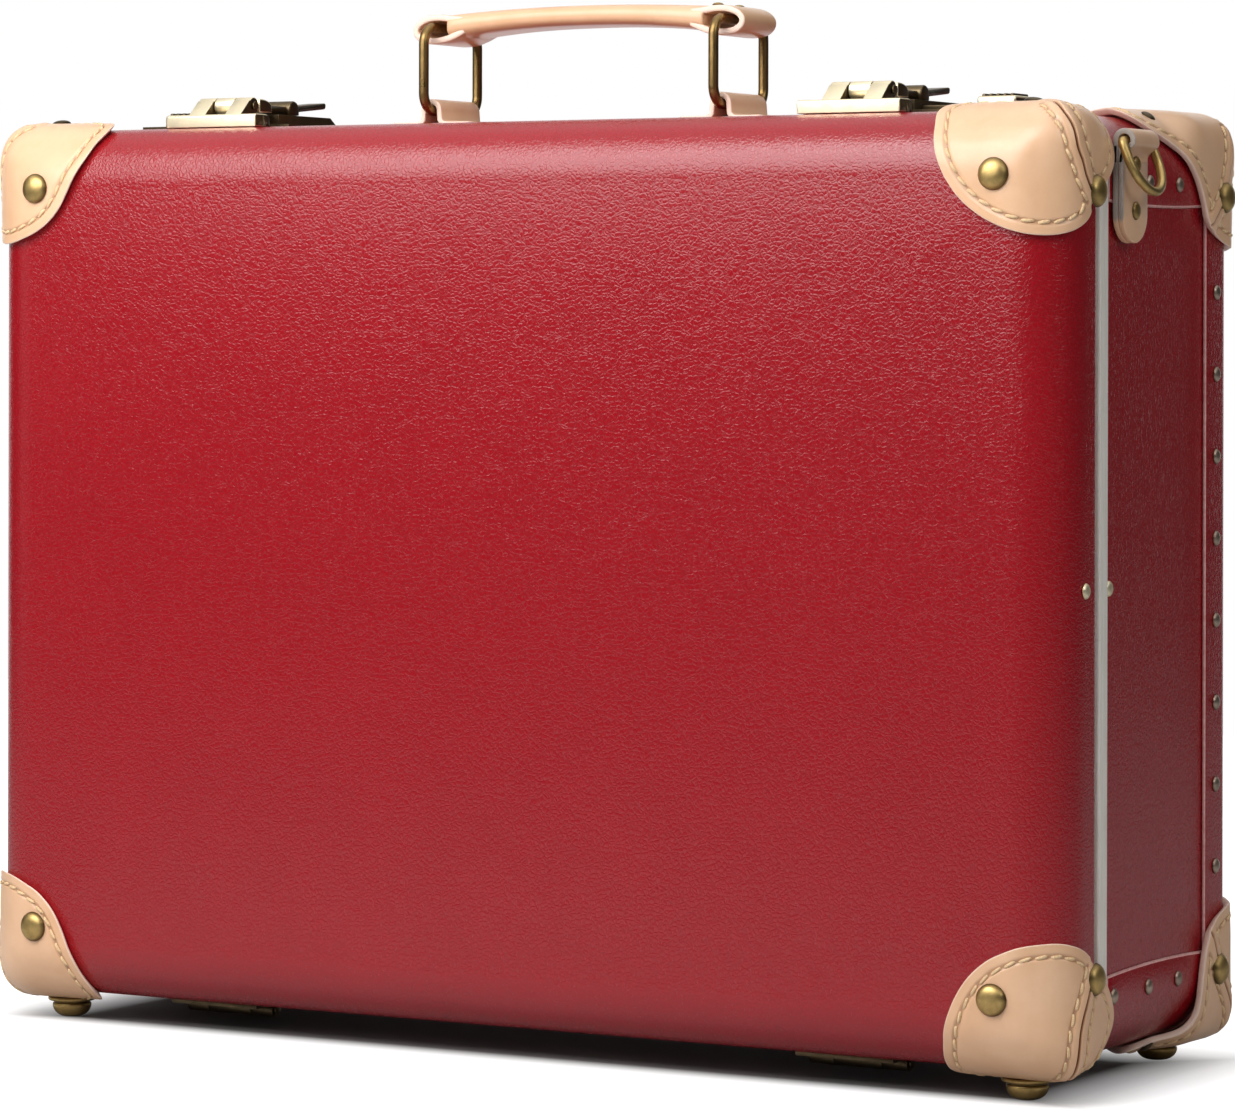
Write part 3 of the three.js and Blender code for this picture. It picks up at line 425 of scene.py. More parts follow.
def prism(
    outline: Array,
    start: float,
    end: float,
    edge: float = 0.4,
    axis: int = 0,
    slot: int = 0,
    cap_slot: int | None = None,
) -> Shell:
    """Carries a closed outline along an axis, with the edges of both ends rounded over.

    The end rings are drawn in by edge (1 - cos a) at a distance edge (1 - sin a) from the end.

    Args:
        outline: Points in the two other axes, in the order (x, d, h).
        start: Where the prism starts on the axis.
        end: Where it ends.
        edge: Radius of the rounded end edges.
        axis: 0 for x, 1 for d, 2 for h.
        slot: Material slot.
        cap_slot: Material slot of the two ends, if another.

    Returns:
        The closed skin.
    """
    angle = np.radians([90.0, 60.0, 30.0, 0.0])
    inset, into = edge * (1 - np.cos(angle)), edge * (1 - np.sin(angle))
    places = np.concatenate([start + into, end - into[::-1]])
    insets = np.concatenate([inset, inset[::-1]])
    rings = np.stack([drawn_in(outline, a) for a in insets])
    along = np.broadcast_to(places[:, None], rings.shape[:2])
    parts = [rings[..., 0], rings[..., 1]]
    parts.insert(axis, along)
    return tube_shell(np.stack(parts, axis=-1), slot=slot, cap_slot=cap_slot)


def lathe(radii: Array, heights: Array, around: int, tint: Array) -> Shell:
    """Turns a profile about the h axis: (r cos a, r sin a, height).

    Args:
        radii: Radius of each ring.
        heights: Height of each ring.
        around: Facets in a turn.
        tint: Tint of each ring.

    Returns:
        The closed skin.
    """
    angle = np.arange(around) / around * TAU
    ring = np.stack([np.cos(angle), np.sin(angle)], axis=-1)
    rise = np.broadcast_to(heights[:, None, None], (len(heights), around, 1))
    grid = np.concatenate([radii[:, None, None] * ring[None], rise], axis=-1)
    return tube_shell(grid, tint=np.repeat(np.asarray(tint, float)[:, None], around, axis=1))


def frames_along(path: Array, closed: bool, up: Array) -> tuple[Array, Array]:
    """Directions across a path.

    Args:
        path: Points of the path.
        closed: Whether its end joins its start.
        up: A fixed direction, to which the side direction is square.

    Returns:
        Unit side and top directions at each point.
    """
    if closed:
        tangent = np.roll(path, -1, axis=0) - np.roll(path, 1, axis=0)
    else:
        tangent = np.gradient(path, axis=0)
    tangent /= np.linalg.norm(tangent, axis=1, keepdims=True)
    side = np.cross(tangent, up)
    side /= np.linalg.norm(side, axis=1, keepdims=True)
    return side, np.cross(side, tangent)


def swept(path: Array, section: Array, up: Array, closed: bool = False, tint: Array | None = None) -> Shell:
    """Carries a section along a path: path + a side + b top for each section point (a, b).

    Args:
        path: Points of the path.
        section: Points (a, b) of the section.
        up: The direction to which the section's side is kept square.
        closed: Whether the path's end joins its start.
        tint: Tint of each point, (path, section).

    Returns:
        The closed skin.
    """
    side, top = frames_along(path, closed, up)
    grid = path[:, None] + section[None, :, :1] * side[:, None] + section[None, :, 1:] * top[:, None]
    return tube_shell(grid, closed, tint=tint)


def round_section(radius: float, sides: int = 16) -> Array:
    """A circle of points."""
    return arc((0, 0), radius, 0, 360 - 360 / sides, sides - 1)


def slab_section(width: float, thickness: float, radius: float, steps: int = 4) -> Array:
    """A flat rounded bar: width across, thickness along the top direction."""
    a, b = width / 2, thickness / 2
    return soft_outline([(-a, -b, radius), (a, -b, radius), (a, b, radius), (-a, b, radius)], steps)


def resampled(path: Array, count: int, closed: bool = False) -> Array:
    """The path with points at equal steps of its length."""
    line = np.concatenate([path, path[:1]]) if closed else path
    length = np.concatenate([[0], np.cumsum(np.linalg.norm(np.diff(line, axis=0), axis=1))])
    at = np.linspace(0, length[-1], count + 1)[:-1] if closed else np.linspace(0, length[-1], count)
    return np.stack([np.interp(at, length, line[:, k]) for k in range(line.shape[1])], axis=-1)


def curve_through(points: Array, count: int, closed: bool) -> Array:
    """A Catmull-Rom curve through points, as count points at equal steps of its length.

    Between two points b and c, with a before and d after, it is
    0.5 (2b + (c - a) t + (2a - 5b + 4c - d) t^2 + (3b - a - 3c + d) t^3).
    """
    points = np.asarray(points, float)
    if closed:
        a, b, c, d = np.roll(points, 1, 0), points, np.roll(points, -1, 0), np.roll(points, -2, 0)
    else:
        b, c = points[:-1], points[1:]
        a = np.concatenate([2 * points[:1] - points[1:2], points[:-2]])
        d = np.concatenate([points[2:], 2 * points[-1:] - points[-2:-1]])
    t = np.linspace(0, 1, 24, endpoint=False)[None, :, None]
    a, b, c, d = (v[:, None] for v in (a, b, c, d))
    line = 0.5 * (2 * b + (c - a) * t + (2 * a - 5 * b + 4 * c - d) * t**2 + (3 * b - a - 3 * c + d) * t**3)
    line = line.reshape(-1, points.shape[1])
    return resampled(line if closed else np.concatenate([line, points[-1:]]), count, closed)


# Node graphs


class Nodes:
    """A node tree, with short ways to add the nodes that the finishes and the world share."""

    def __init__(self, tree: bpy.types.NodeTree) -> None:
        """Empties the tree and takes object coordinates as its place."""
        self.tree = tree
        self.tree.nodes.clear()
        self.place = self.tree.nodes.new("ShaderNodeTexCoord").outputs["Object"]

    def put(self, socket: bpy.types.NodeSocket, value: object) -> None:
        """Sets a socket to a value, or links it to another node's output."""
        if isinstance(value, bpy.types.NodeSocket):
            self.tree.links.new(value, socket)
        else:
            socket.default_value = value

    def node(
        self, kind: str, output: int | str = 0, settings: dict | None = None, **inputs: object
    ) -> bpy.types.NodeSocket:
        """Adds a node and returns one of its outputs.

        Args:
            kind: The node's type without its ShaderNode prefix.
            output: Which output to return.
            settings: Properties of the node itself.
            **inputs: Values or links by input name, with _ for a space.

        Returns:
            The output socket.
        """
        made = self.tree.nodes.new("ShaderNode" + kind)
        for key, value in (settings or {}).items():
            setattr(made, key, value)
        for key, value in inputs.items():
            self.put(made.inputs[key.replace("_", " ")], value)
        return made.outputs[output]

    def maths(
        self, operation: str, a: object, b: object = 0.0, clamp: bool = False
    ) -> bpy.types.NodeSocket:
        """A sum, product or other operation on two numbers."""
        made = self.tree.nodes.new("ShaderNodeMath")
        made.operation, made.use_clamp = operation, clamp
        self.put(made.inputs[0], a)
        self.put(made.inputs[1], b)
        return made.outputs[0]

    def vectors(self, operation: str, *values: object, output: str = "Vector") -> bpy.types.NodeSocket:
        """An operation on vectors; the output "Value" is for one whose result is a number."""
        result = self.node("VectorMath", output, {"operation": operation})
        for socket, value in zip(result.node.inputs, values):
            self.put(socket, value)
        return result

    def noise(
        self, scale: float, detail: float = 3.0, roughness: float = 0.55, place: object = None
    ) -> bpy.types.NodeSocket:
        """Fractal noise on object coordinates, scale in cells for each metre."""
        at = place or self.place
        return self.node("TexNoise", "Fac", Vector=at, Scale=scale, Detail=detail, Roughness=roughness)

    def cells(self, scale: float, feature: str = "F1", place: object = None) -> bpy.types.NodeSocket:
        """Distance in a Voronoi pattern on object coordinates."""
        at = place or self.place
        return self.node("TexVoronoi", "Distance", {"feature": feature}, Vector=at, Scale=scale)

    def ramp(
        self,
        value: object,
        low: float,
        high: float,
        start: float = 0.0,
        end: float = 1.0,
        smooth: bool = False,
    ) -> bpy.types.NodeSocket:
        """Carries low..high to start..end, held outside it, in a straight line or smoothly."""
        made = self.tree.nodes.new("ShaderNodeMapRange")
        made.interpolation_type = "SMOOTHSTEP" if smooth else "LINEAR"
        for key, number in (("From Min", low), ("From Max", high), ("To Min", start), ("To Max", end)):
            made.inputs[key].default_value = number
        self.put(made.inputs["Value"], value)
        return made.outputs[0]

    def blend(self, factor: object, a: object, b: object) -> bpy.types.NodeSocket:
        """Mixes two colours."""
        made = self.tree.nodes.new("ShaderNodeMix")
        made.data_type = "RGBA"
        self.put(made.inputs[0], factor)
        self.put(made.inputs[6], a)
        self.put(made.inputs[7], b)
        return made.outputs[2]

    def bump(
        self, height: object, strength: float, distance: float, normal: object = None
    ) -> bpy.types.NodeSocket:
        """A bump from a height, distance in metres."""
        made = self.tree.nodes.new("ShaderNodeBump")
        made.inputs["Strength"].default_value = strength
        made.inputs["Distance"].default_value = distance
        self.put(made.inputs["Height"], height)
        if normal is not None:
            self.put(made.inputs["Normal"], normal)
        return made.outputs[0]

    def attribute(self, name: str) -> bpy.types.NodeSocket:
        """A number stored on the mesh."""
        return self.node("Attribute", "Fac", {"attribute_name": name})

    def facing(self, way: object, ahead: tuple[float, float]) -> bpy.types.NodeSocket:
        """The cosine between a unit direction and the level direction in which the camera looks."""
        return self.vectors("DOT_PRODUCT", way, (*ahead, 0.0), output="Value")

    def shown(self, behind: object) -> bpy.types.NodeSocket:
        """1 for camera and transmission rays, and the share behind for glossy rays."""
        ray = self.tree.nodes.new("ShaderNodeLightPath").outputs
        clear = self.maths("MAXIMUM", ray["Is Camera Ray"], ray["Is Transmission Ray"])
        return self.maths("MAXIMUM", clear, self.maths("MULTIPLY", ray["Is Glossy Ray"], behind))


class Graph(Nodes):
    """A material's node tree, with its principled shader."""

    def __init__(self, name: str) -> None:
        """Starts an empty material with a principled shader."""
        self.material = bpy.data.materials.new(name)
        self.material.use_nodes = True
        super().__init__(self.material.node_tree)
        output = self.tree.nodes.new("ShaderNodeOutputMaterial")
        self.shader = self.tree.nodes.new("ShaderNodeBsdfPrincipled")
        self.tree.links.new(self.shader.outputs[0], output.inputs[0])

    def finish(self, **inputs: object) -> bpy.types.Material:
        """Sets the principled shader's sockets and returns the material."""
        for key, value in inputs.items():
            self.put(self.shader.inputs[key.replace("_", " ")], value)
        return self.material


def linear(red: float, green: float, blue: float) -> tuple[float, float, float, float]:
    """A colour written as display values from 0 to 255, made linear."""
    parts = np.array([red, green, blue]) / 255
    straight = np.where(parts <= 0.04045, parts / 12.92, ((parts + 0.055) / 1.055) ** 2.4)
    return (*(float(v) for v in straight), 1.0)


# Finishes


@dataclass(frozen=True)
class RedLeather:
    """Grained red leather: fine pebbles of about a millimetre, soft creases, a satin gloss, and painted shade
    that turns the creases between the pebbles a deeper red.
    """

    colour: tuple[float, float, float] = (149, 8, 22)
    # The deeper red of the creases between pebbles: painted shade.
    deep: tuple[float, float, float] = (126, 3, 15)
    pebble: float = 600.0
    wander: float = 0.0022
    relief: float = 0.00009
    roughness: float = 0.22
    sheen: tuple[float, float, float, float] = (1.0, 0.94, 0.96, 1.0)
    name: str = "red_leather"

    def material(self) -> bpy.types.Material:
        """Builds the material."""
        g = Graph(self.name)
        warp = g.node("TexNoise", "Color", Vector=g.place, Scale=260.0, Detail=2.0)
        wander = g.vectors("MULTIPLY_ADD", warp, (self.wander,) * 3, g.place)
        pebbles = g.ramp(g.cells(self.pebble, "DISTANCE_TO_EDGE", wander), 0.0, 0.22)
        creases = g.ramp(g.noise(620.0, 1.5, 0.4), 0.3, 0.7)
        dents = g.noise(9.0, 2.0)
        mottle = g.ramp(g.noise(26.0, 4.0), 0.3, 0.7)
        even = g.ramp(mottle, 0.0, 1.0, 0.82, 1.0)
        # Painted shade: the colour turns to the deeper red in the creases between pebbles.
        shade = g.maths("MULTIPLY", g.ramp(pebbles, 0.0, 0.5, 0.55, 1.0), even)
        colour = g.blend(shade, linear(*self.deep), linear(*self.colour))
        height = g.maths("ADD", g.maths("MULTIPLY", pebbles, 0.55), g.maths("MULTIPLY", creases, 0.4))
        fine = g.bump(height, 1.0, self.relief, g.bump(dents, 0.2, 0.0015))
        raised = g.maths("ADD", pebbles, creases)
        gloss = g.ramp(raised, 0.2, 1.6, self.roughness + 0.06, self.roughness - 0.03)
        g.finish(Base_Color=colour, Roughness=gloss, Normal=fine)
        return g.finish(IOR=1.5, Specular_IOR_Level=0.7, Specular_Tint=self.sheen)


@dataclass(frozen=True)
class NaturalLeather:
    """Vegetable-tanned leather: pale tan, faintly mottled, paler on its cut rim, and darkened in its stitch
    channels and seam grooves as painted shade.
    """

    colour: tuple[float, float, float] = (232, 190, 154)
    warm: tuple[float, float, float] = (216, 168, 126)
    rim: tuple[float, float, float] = (240, 212, 194)
    # Dark brown of the stitch channels and seam grooves: painted shade.
    channel: tuple[float, float, float] = (128, 78, 46)
    roughness: float = 0.3
    name: str = "natural_leather"

    def material(self) -> bpy.types.Material:
        """Builds the material. The tint is 1 on the grain, 0 on the cut rim and up to 2 in a channel, where
        the dark channel colour is painted shade.
        """
        g = Graph(self.name)
        mottle = g.ramp(g.noise(38.0, 5.0, 0.6), 0.3, 0.72)
        fibres = g.noise(700.0, 4.0, 0.6)
        pores = g.ramp(g.cells(1500.0), 0.12, 0.4)
        grain = g.blend(g.maths("MULTIPLY", mottle, 0.8), linear(*self.colour), linear(*self.warm))
        inside = g.attribute("tint")
        pale = g.blend(g.ramp(inside, 0.25, 0.85), linear(*self.rim), grain)
        # Painted shade: stitch channels and seam grooves take the dark channel colour.
        colour = g.blend(g.ramp(inside, 1.05, 1.9), pale, linear(*self.channel))
        height = g.maths("ADD", g.maths("MULTIPLY", fibres, 0.8), g.maths("MULTIPLY", pores, 0.35))
        fine = g.bump(height, 0.22, 0.00018, g.bump(g.noise(60.0, 2.0), 0.15, 0.0006))
        gloss = g.ramp(inside, 0.0, 1.0, self.roughness + 0.25, self.roughness)
        return g.finish(Base_Color=colour, Roughness=gloss, Normal=fine, IOR=1.48, Specular_IOR_Level=0.6)


@dataclass(frozen=True)
class AntiqueBrass:
    """Antiqued brass: warm gold on the crowns, dark bronze where it isn't rubbed, and faint scratches."""

    bright: tuple[float, float, float] = (204, 174, 112)
    dark: tuple[float, float, float] = (88, 70, 44)
    roughness: float = 0.36
    name: str = "antique_brass"

    def material(self) -> bpy.types.Material:
        """Builds the material. The tint attribute is 0 on a darkened rim and 1 on a rubbed crown."""
        g = Graph(self.name)
        cloud = g.ramp(g.noise(240.0, 5.0, 0.6), 0.32, 0.68)
        rubbed = g.maths("MULTIPLY", g.attribute("tint"), g.ramp(cloud, 0.0, 1.0, 0.62, 1.0), True)
        colour = g.blend(rubbed, linear(*self.dark), linear(*self.bright))
        scratches = g.noise(2600.0, 3.0, 0.7)
        normal = g.bump(scratches, 0.08, 0.00004, g.bump(g.noise(300.0, 2.0), 0.08, 0.0001))
        gloss = g.ramp(cloud, 0.0, 1.0, self.roughness + 0.14, self.roughness - 0.04)
        return g.finish(Base_Color=colour, Metallic=1.0, Roughness=gloss, Normal=normal)


@dataclass(frozen=True)
class Plain:
    """A plain finish with noise in its colour and a fine bump: cut edges, thread, rail, lining."""

    name: str
    colour: tuple[float, float, float]
    other: tuple[float, float, float]
    roughness: float
    metallic: float = 0.0
    scale: float = 500.0
    relief: float = 0.0001
    stretch: tuple[float, float, float] = (1.0, 1.0, 1.0)

    def material(self) -> bpy.types.Material:
        """Builds the material. Stretch draws the pattern out along an axis, as brushing does."""
        g = Graph(self.name)
        place = g.node("Mapping", 0, None, Vector=g.place)
        place.node.inputs["Scale"].default_value = self.stretch
        pattern = g.noise(self.scale, 4.0, 0.6, place)
        colour = g.blend(g.ramp(pattern, 0.3, 0.7), linear(*self.colour), linear(*self.other))
        gloss = g.ramp(pattern, 0.3, 0.7, self.roughness, self.roughness + 0.1)
        relief = g.bump(pattern, 0.3, self.relief)
        return g.finish(Base_Color=colour, Metallic=self.metallic, Roughness=gloss, Normal=relief)


@dataclass(frozen=True)
class LiningCloth:
    """Woven lining cloth: two crossed sets of threads about half a millimetre apart."""

    colour: tuple[float, float, float] = (206, 188, 152)
    shadow: tuple[float, float, float] = (150, 130, 98)
    pitch: float = 0.0011
    name: str = "lining_cloth"

    def material(self) -> bpy.types.Material:
        """Builds the material. Waves along each axis cross to give the weave."""
        g = Graph(self.name)
        scale = 0.314 / self.pitch
        bands = [{"wave_type": "BANDS", "bands_direction": way} for way in "XYZ"]
        waves = [g.node("TexWave", "Fac", settings, Vector=g.place, Scale=scale) for settings in bands]
        weave = g.maths("MULTIPLY", g.maths("ADD", waves[0], waves[1]), g.maths("ADD", waves[2], 0.4))
        colour = g.blend(g.ramp(weave, 0.2, 1.6), linear(*self.shadow), linear(*self.colour))
        relief = g.bump(weave, 0.4, 0.0002)
        return g.finish(Base_Color=colour, Roughness=0.9, Normal=relief, Sheen_Weight=0.2)


def made(look: RedLeather | NaturalLeather | AntiqueBrass | Plain | LiningCloth) -> bpy.types.Material:
    """A dataclass field that builds the look's material by default."""
    return field(default_factory=look.material)


@dataclass
class Finishes:
    """The materials of the case, made once."""

    red: bpy.types.Material = made(RedLeather())
    natural: bpy.types.Material = made(NaturalLeather())
    tab: bpy.types.Material = made(NaturalLeather(rim=(158, 146, 138), name="tab_leather"))
    brass: bpy.types.Material = made(AntiqueBrass())
    # Brass painted darker all over for the handle rings: painted shade for the dark reflections on their legs.
    worn: bpy.types.Material = made(AntiqueBrass((150, 122, 76), (58, 46, 32), 0.3, "worn_brass"))
    # Dark bronze: painted shade on the hinges, hasp pins, lock cases and the shaded ends of the latches, and
    # the metal of the small rivets over the guards.
    bronze: bpy.types.Material = made(AntiqueBrass((104, 90, 68), (52, 44, 34), 0.36, "dark_bronze"))
    nickel: bpy.types.Material = made(AntiqueBrass((196, 178, 160), (120, 100, 86), 0.34, "aged_nickel"))
    # Light gilt: the latches' front and top faces, partly their pale metal and partly painted light, and the
    # small tacks on the sides.
    gilt: bpy.types.Material = made(AntiqueBrass((244, 232, 202), (222, 206, 168), 0.42, "light_gilt"))
    rail: bpy.types.Material = made(
        Plain("brushed_rail", (246, 242, 234), (224, 218, 208), 0.42, 0.1, 900.0, 0.00004, (1.0, 1.0, 0.05))
    )
    cut: bpy.types.Material = made(Plain("cut_edge", (236, 190, 184), (214, 150, 146), 0.7))
    thread: bpy.types.Material = made(
        Plain("waxed_thread", (236, 208, 166), (206, 168, 122), 0.55, 0.0, 2200.0)
    )
    lining: bpy.types.Material = made(LiningCloth())


# Sub-assemblies


@dataclass
class Shells:
    """Lid, base, their linings and the rail between them."""

    case: Case
    finishes: Finishes
    wall: float = 4.0
    lining: float = 1.2
    lid_lining_step: float = 7.0
    base_lining_step: float = 6.0
    rail_edge: float = 1.2
    tongue_gap: float = 0.6
    tongue_wall: float = 1.8
    tongue_reach: float = 8.3
    clearance: float = 0.3
    face_left: float = 20.0

    @property
    def face_rows(self) -> Array:
        """Shares at which rows cross the flat of a face, close together near its edge."""
        return np.linspace(0.08, 1, 16) ** 1.8

    def tray(self, face: Face, outer: float, inner: float, rim: float, steps: int = 14) -> Shell:
        """A tray between two insets: out along its outside, over its rim and back inside.

        Args:
            face: The plane that closes the tray.
            outer: Inset of its outside.
            inner: Inset of its inside.
            rim: Depth of its open rim.
            steps: Facets of its rounded edge.

        Returns:
            The closed skin, slot 0 outside and in, slot 1 on the rim.
        """
        case = self.case
        way = 1.0 if face is Face.FRONT else -1.0
        out_inset, out_depth = case.round_edge(outer, face, steps)
        in_inset, in_depth = case.round_edge(inner, face, steps)
        edge = 0.5 * way
        flat = self.face_rows * (case.height / 2 - self.face_left - out_inset[-1])
        over = [outer, outer, outer + 0.12, outer + 0.5, inner - 0.3, inner, inner]
        insets = np.concatenate(
            [out_inset[-1] + flat[::-1], out_inset[::-1], over, in_inset, in_inset[-1] + flat]
        )
        rise = rim - edge * np.array([3, 1, 0.3, 0, 0, 1, 3])
        level = np.ones(len(flat))
        depths = np.concatenate(
            [level * out_depth[-1], out_depth[::-1], rise, in_depth, level * in_depth[-1]]
        )
        return tube_shell(case.loft(insets, depths))

    def build(self) -> None:
        """Builds the shells, linings and rail."""
        case, finishes = self.case, self.finishes
        base_rim = case.rail_start + case.rail_width + self.clearance
        base_out = case.base_inset
        lid = self.tray(Face.FRONT, 0.0, self.wall, case.lid_depth)
        settle(piece(case, "lid_cover", [lid], [finishes.red]), "lid", "red_leather", "lid_shell")
        base = self.tray(Face.BACK, base_out, base_out + self.wall, base_rim)
        settle(piece(case, "base_cover", [base], [finishes.red]), "base", "red_leather", "base_shell")
        for name, body, face, inset, rim in (
            ("lid_lining", "lid", Face.FRONT, self.wall, case.lid_depth - self.lid_lining_step),
            ("base_lining", "base", Face.BACK, base_out + self.wall, base_rim + self.base_lining_step),
        ):
            start = inset + self.clearance
            cloth = self.tray(face, start, start + self.lining, rim, 8)
            settle(piece(case, name + "_cloth", [cloth], [finishes.lining]), body, "lining", name)
        self.rail(base_rim)

    def rail(self, base_rim: float) -> None:
        """A flat band round the opening with rolled edges, and its tongue inside the lid."""
        case = self.case
        start, end, r = case.rail_start, case.rail_start + case.rail_width, self.rail_edge
        tongue_out = self.wall + self.tongue_gap
        tongue_in = tongue_out + self.tongue_wall
        base_in = case.base_inset + self.wall + self.clearance
        corners = [
            (0.0, start, r), (0.0, end, r), (base_in, end, 0.2), (base_in, base_rim + 2.7, 0.2),
            (tongue_in, base_rim + 2.7, 0.4), (tongue_in, start - self.tongue_reach, 0.6),
            (tongue_out, start - self.tongue_reach, 0.6), (tongue_out, start, 0.3),
        ]
        outline = soft_outline(corners, 5)
        grid = case.loft(outline[:, 0], outline[:, 1], 20)
        shell = Shell.weld([(grid, grid_quads(*grid.shape[:2], True, True), 0, None)])
        settle(piece(case, "rail_band", [shell], [self.finishes.rail]), "base", "rail", "base_rail")


@dataclass
class Covers:
    """The wraps over the top and bottom of the base, the binding round its back, and their tacks."""

    case: Case
    finishes: Finishes
    thickness: float = 0.6
    binding_thickness: float = 1.2
    binding_gap: float = 0.3
    binding_reach: float = 22.0
    tack_radius: float = 3.0
    tack_height: float = 1.5
    tack_depth: float = 139.8
    tack_low: float = 64.8
    tack_high: float = 284.2
    tack_count: int = 8
    strip_tack_depths: tuple[float, ...] = (47.3, 78.4, 105.7)
    strip_tack_drop: float = 25.5
    side_tacks: tuple[tuple[str, str, float, float], ...] = (
        ("lid_tack", "lid", 21.9, 0.0), ("rail_tack", "base", 43.8, 0.9),
    )
    strip_sag: float = 1.2
    cut_slope: float = 1.0

    def strip(self, level: Level) -> None:
        """A wrap over the top or bottom, its two side edges cut in a shallow curve.

        The outline of the case is walked from one side over two corners to the other side. The
        cut edges lie at drop + sag 4 s (1 - s) from the top or bottom, s from 0 at the rail to 1.
        """
        case = self.case
        top = level is Level.TOP
        start = case.rail_start + case.rail_width + self.binding_gap
        end = case.depth - case.binding_width - self.binding_gap
        depths = np.linspace(start, end, 24)
        share = (depths - start) / (end - start)
        drop = case.strip_drop + self.strip_sag * 4 * share * (1 - share)
        edge_h = case.height - drop if top else drop
        grids = []
        for inset, slope in ((0.0, self.cut_slope), (self.thickness, 0.0)):
            corners = case.section(np.array([inset]), 16)[0].reshape(4, -1, 2)
            line = corners[:2].reshape(-1, 2) if top else corners[2:].reshape(-1, 2)
            flat = np.broadcast_to(line[:, None], (len(line), len(depths), 2))
            low = edge_h + slope * (1 if top else -1)
            ends = [np.full(len(depths), line[k, 0]) for k in (0, -1)]
            first, last = (np.stack([x, low], axis=-1)[None] for x in ends)
            walk = np.concatenate([first, flat, last])
            into = np.broadcast_to(depths, walk.shape[:2])
            grids.append(np.stack([walk[..., 0], into, walk[..., 1]], axis=-1))
        shell = plate(*grids, rim_slot=1)
        name = f"{level.value}_wrap"
        leathers = [self.finishes.red, self.finishes.cut]
        settle(piece(case, name, [shell], leathers), "base", "red_leather", f"{level.value}_strip")

    def binding(self) -> None:
        """The binding: a frame of leather from its cut front edge round the back edge."""
        case = self.case
        outer = case.base_inset - self.binding_gap - self.binding_thickness
        inner = case.base_inset - self.binding_gap
        rim = case.depth - case.binding_width
        out_inset, out_depth = case.round_edge(outer, Face.BACK, 8)
        in_inset, in_depth = case.round_edge(inner, Face.BACK, 8)
        reach = case.back_edge_radius + self.binding_reach
        insets = np.concatenate(
            [[inner, outer + 0.25, outer], [outer], out_inset, [reach - 0.4, reach, reach], in_inset[::-1]]
        )
        depths = np.concatenate(
            [[rim, rim, rim + 0.3], [rim + 1.5], out_depth,
             [case.depth - outer, case.depth - outer - 0.2, case.depth - inner], in_depth[::-1]]
        )
        grid = case.loft(insets, depths, 16)
        shell = Shell.weld([(grid, grid_quads(*grid.shape[:2], True, True), 0, None)])
        middle = shell.points[shell.faces].mean(axis=1)
        shell.slots = np.where(middle[:, 1] < rim + 0.31, 1, 0)
        settle(
            piece(case, "binding_leather", [shell], [self.finishes.red, self.finishes.cut]),
            "base", "red_leather", "back_binding",
        )

    def tacks(self) -> None:
        """Small domed tacks along the binding and the side edges of the wraps."""
        case = self.case
        binding_out = self.binding_thickness + self.binding_gap - case.base_inset
        heights = np.linspace(self.tack_low, self.tack_high, self.tack_count)
        places = [(h, self.tack_depth, binding_out) for h in heights]
        for depth in self.strip_tack_depths:
            places.append((self.strip_tack_drop, depth, 0.0))
            places.append((case.height - self.strip_tack_drop, depth, 0.0))
        tack = dome(self.tack_radius, self.tack_height, 20, 5)
        for side in Side:
            shells = [tack.moved(on_side(side, case.width / 2 + out, depth, h)) for h, depth, out in places]
            settle(piece(case, f"tacks_{side.word}", shells, [self.finishes.nickel]), "base", "brass")
        for side in Side:
            for name, body, depth, inset in self.side_tacks:
                turn = on_side(side, case.width / 2 - inset, depth, case.height / 2)
                thing = piece(case, f"{name}_{side.word}", [tack.moved(turn)], [self.finishes.gilt])
                settle(thing, body, "brass")

    def build(self) -> None:
        """Builds the wraps, the binding and the tacks."""
        for level in Level:
            self.strip(level)
        self.binding()
        self.tacks()


def dome(radius: float, height: float, around: int = 40, steps: int = 10) -> Shell:
    """A rivet head about the h axis: a shallow cap whose rim rolls under.

    The cap's height over radius r is height (1 - (r / radius)^2.4)^0.55, and the tint darkens at the rim.
    """
    r = radius * np.sin(np.linspace(0, math.pi / 2, steps + 1))[::-1]
    h = height * (1 - np.minimum(r / radius, 1) ** 2.4) ** 0.55
    radii = np.concatenate([[radius * 0.9], r[:-1], [0.02]])
    heights = np.concatenate([[0.0], np.maximum(h[:-1], height * 0.1), [height]])
    tint = np.clip((1 - radii / radius) / 0.22, 0, 1)
    return lathe(radii, heights, around, tint)


def on_side(side: Side, out: float, depth: float, height: float) -> Array:
    """The 3 x 4 matrix that stands a shape made about h on a side face, at a distance out from x = 0."""
    way = side.value
    return np.array([[0, 0, way, way * out], [0, 1, 0, depth], [1, 0, 0, height]], float)


# Corner guards


@dataclass(frozen=True)
class Pattern:
    """How a guard is cut.

    Points are (p, e, q), the distances in from the side, from the front or back, and from the top or
    bottom. The outline starts at the notch, where the seam ends. The seam runs to it from near the
    vertex. The stitching runs seam_left and seam_right beside the seam, and left_draw is the share by
    which the outline of the left guard is drawn in.
    """

    face: Face
    level: Level
    outline: tuple[tuple[float, float, float], ...]
    seam: tuple[tuple[float, float, float], ...]
    seam_left: float = 6.3
    seam_right: float = 4.5
    left_draw: float = 0.0


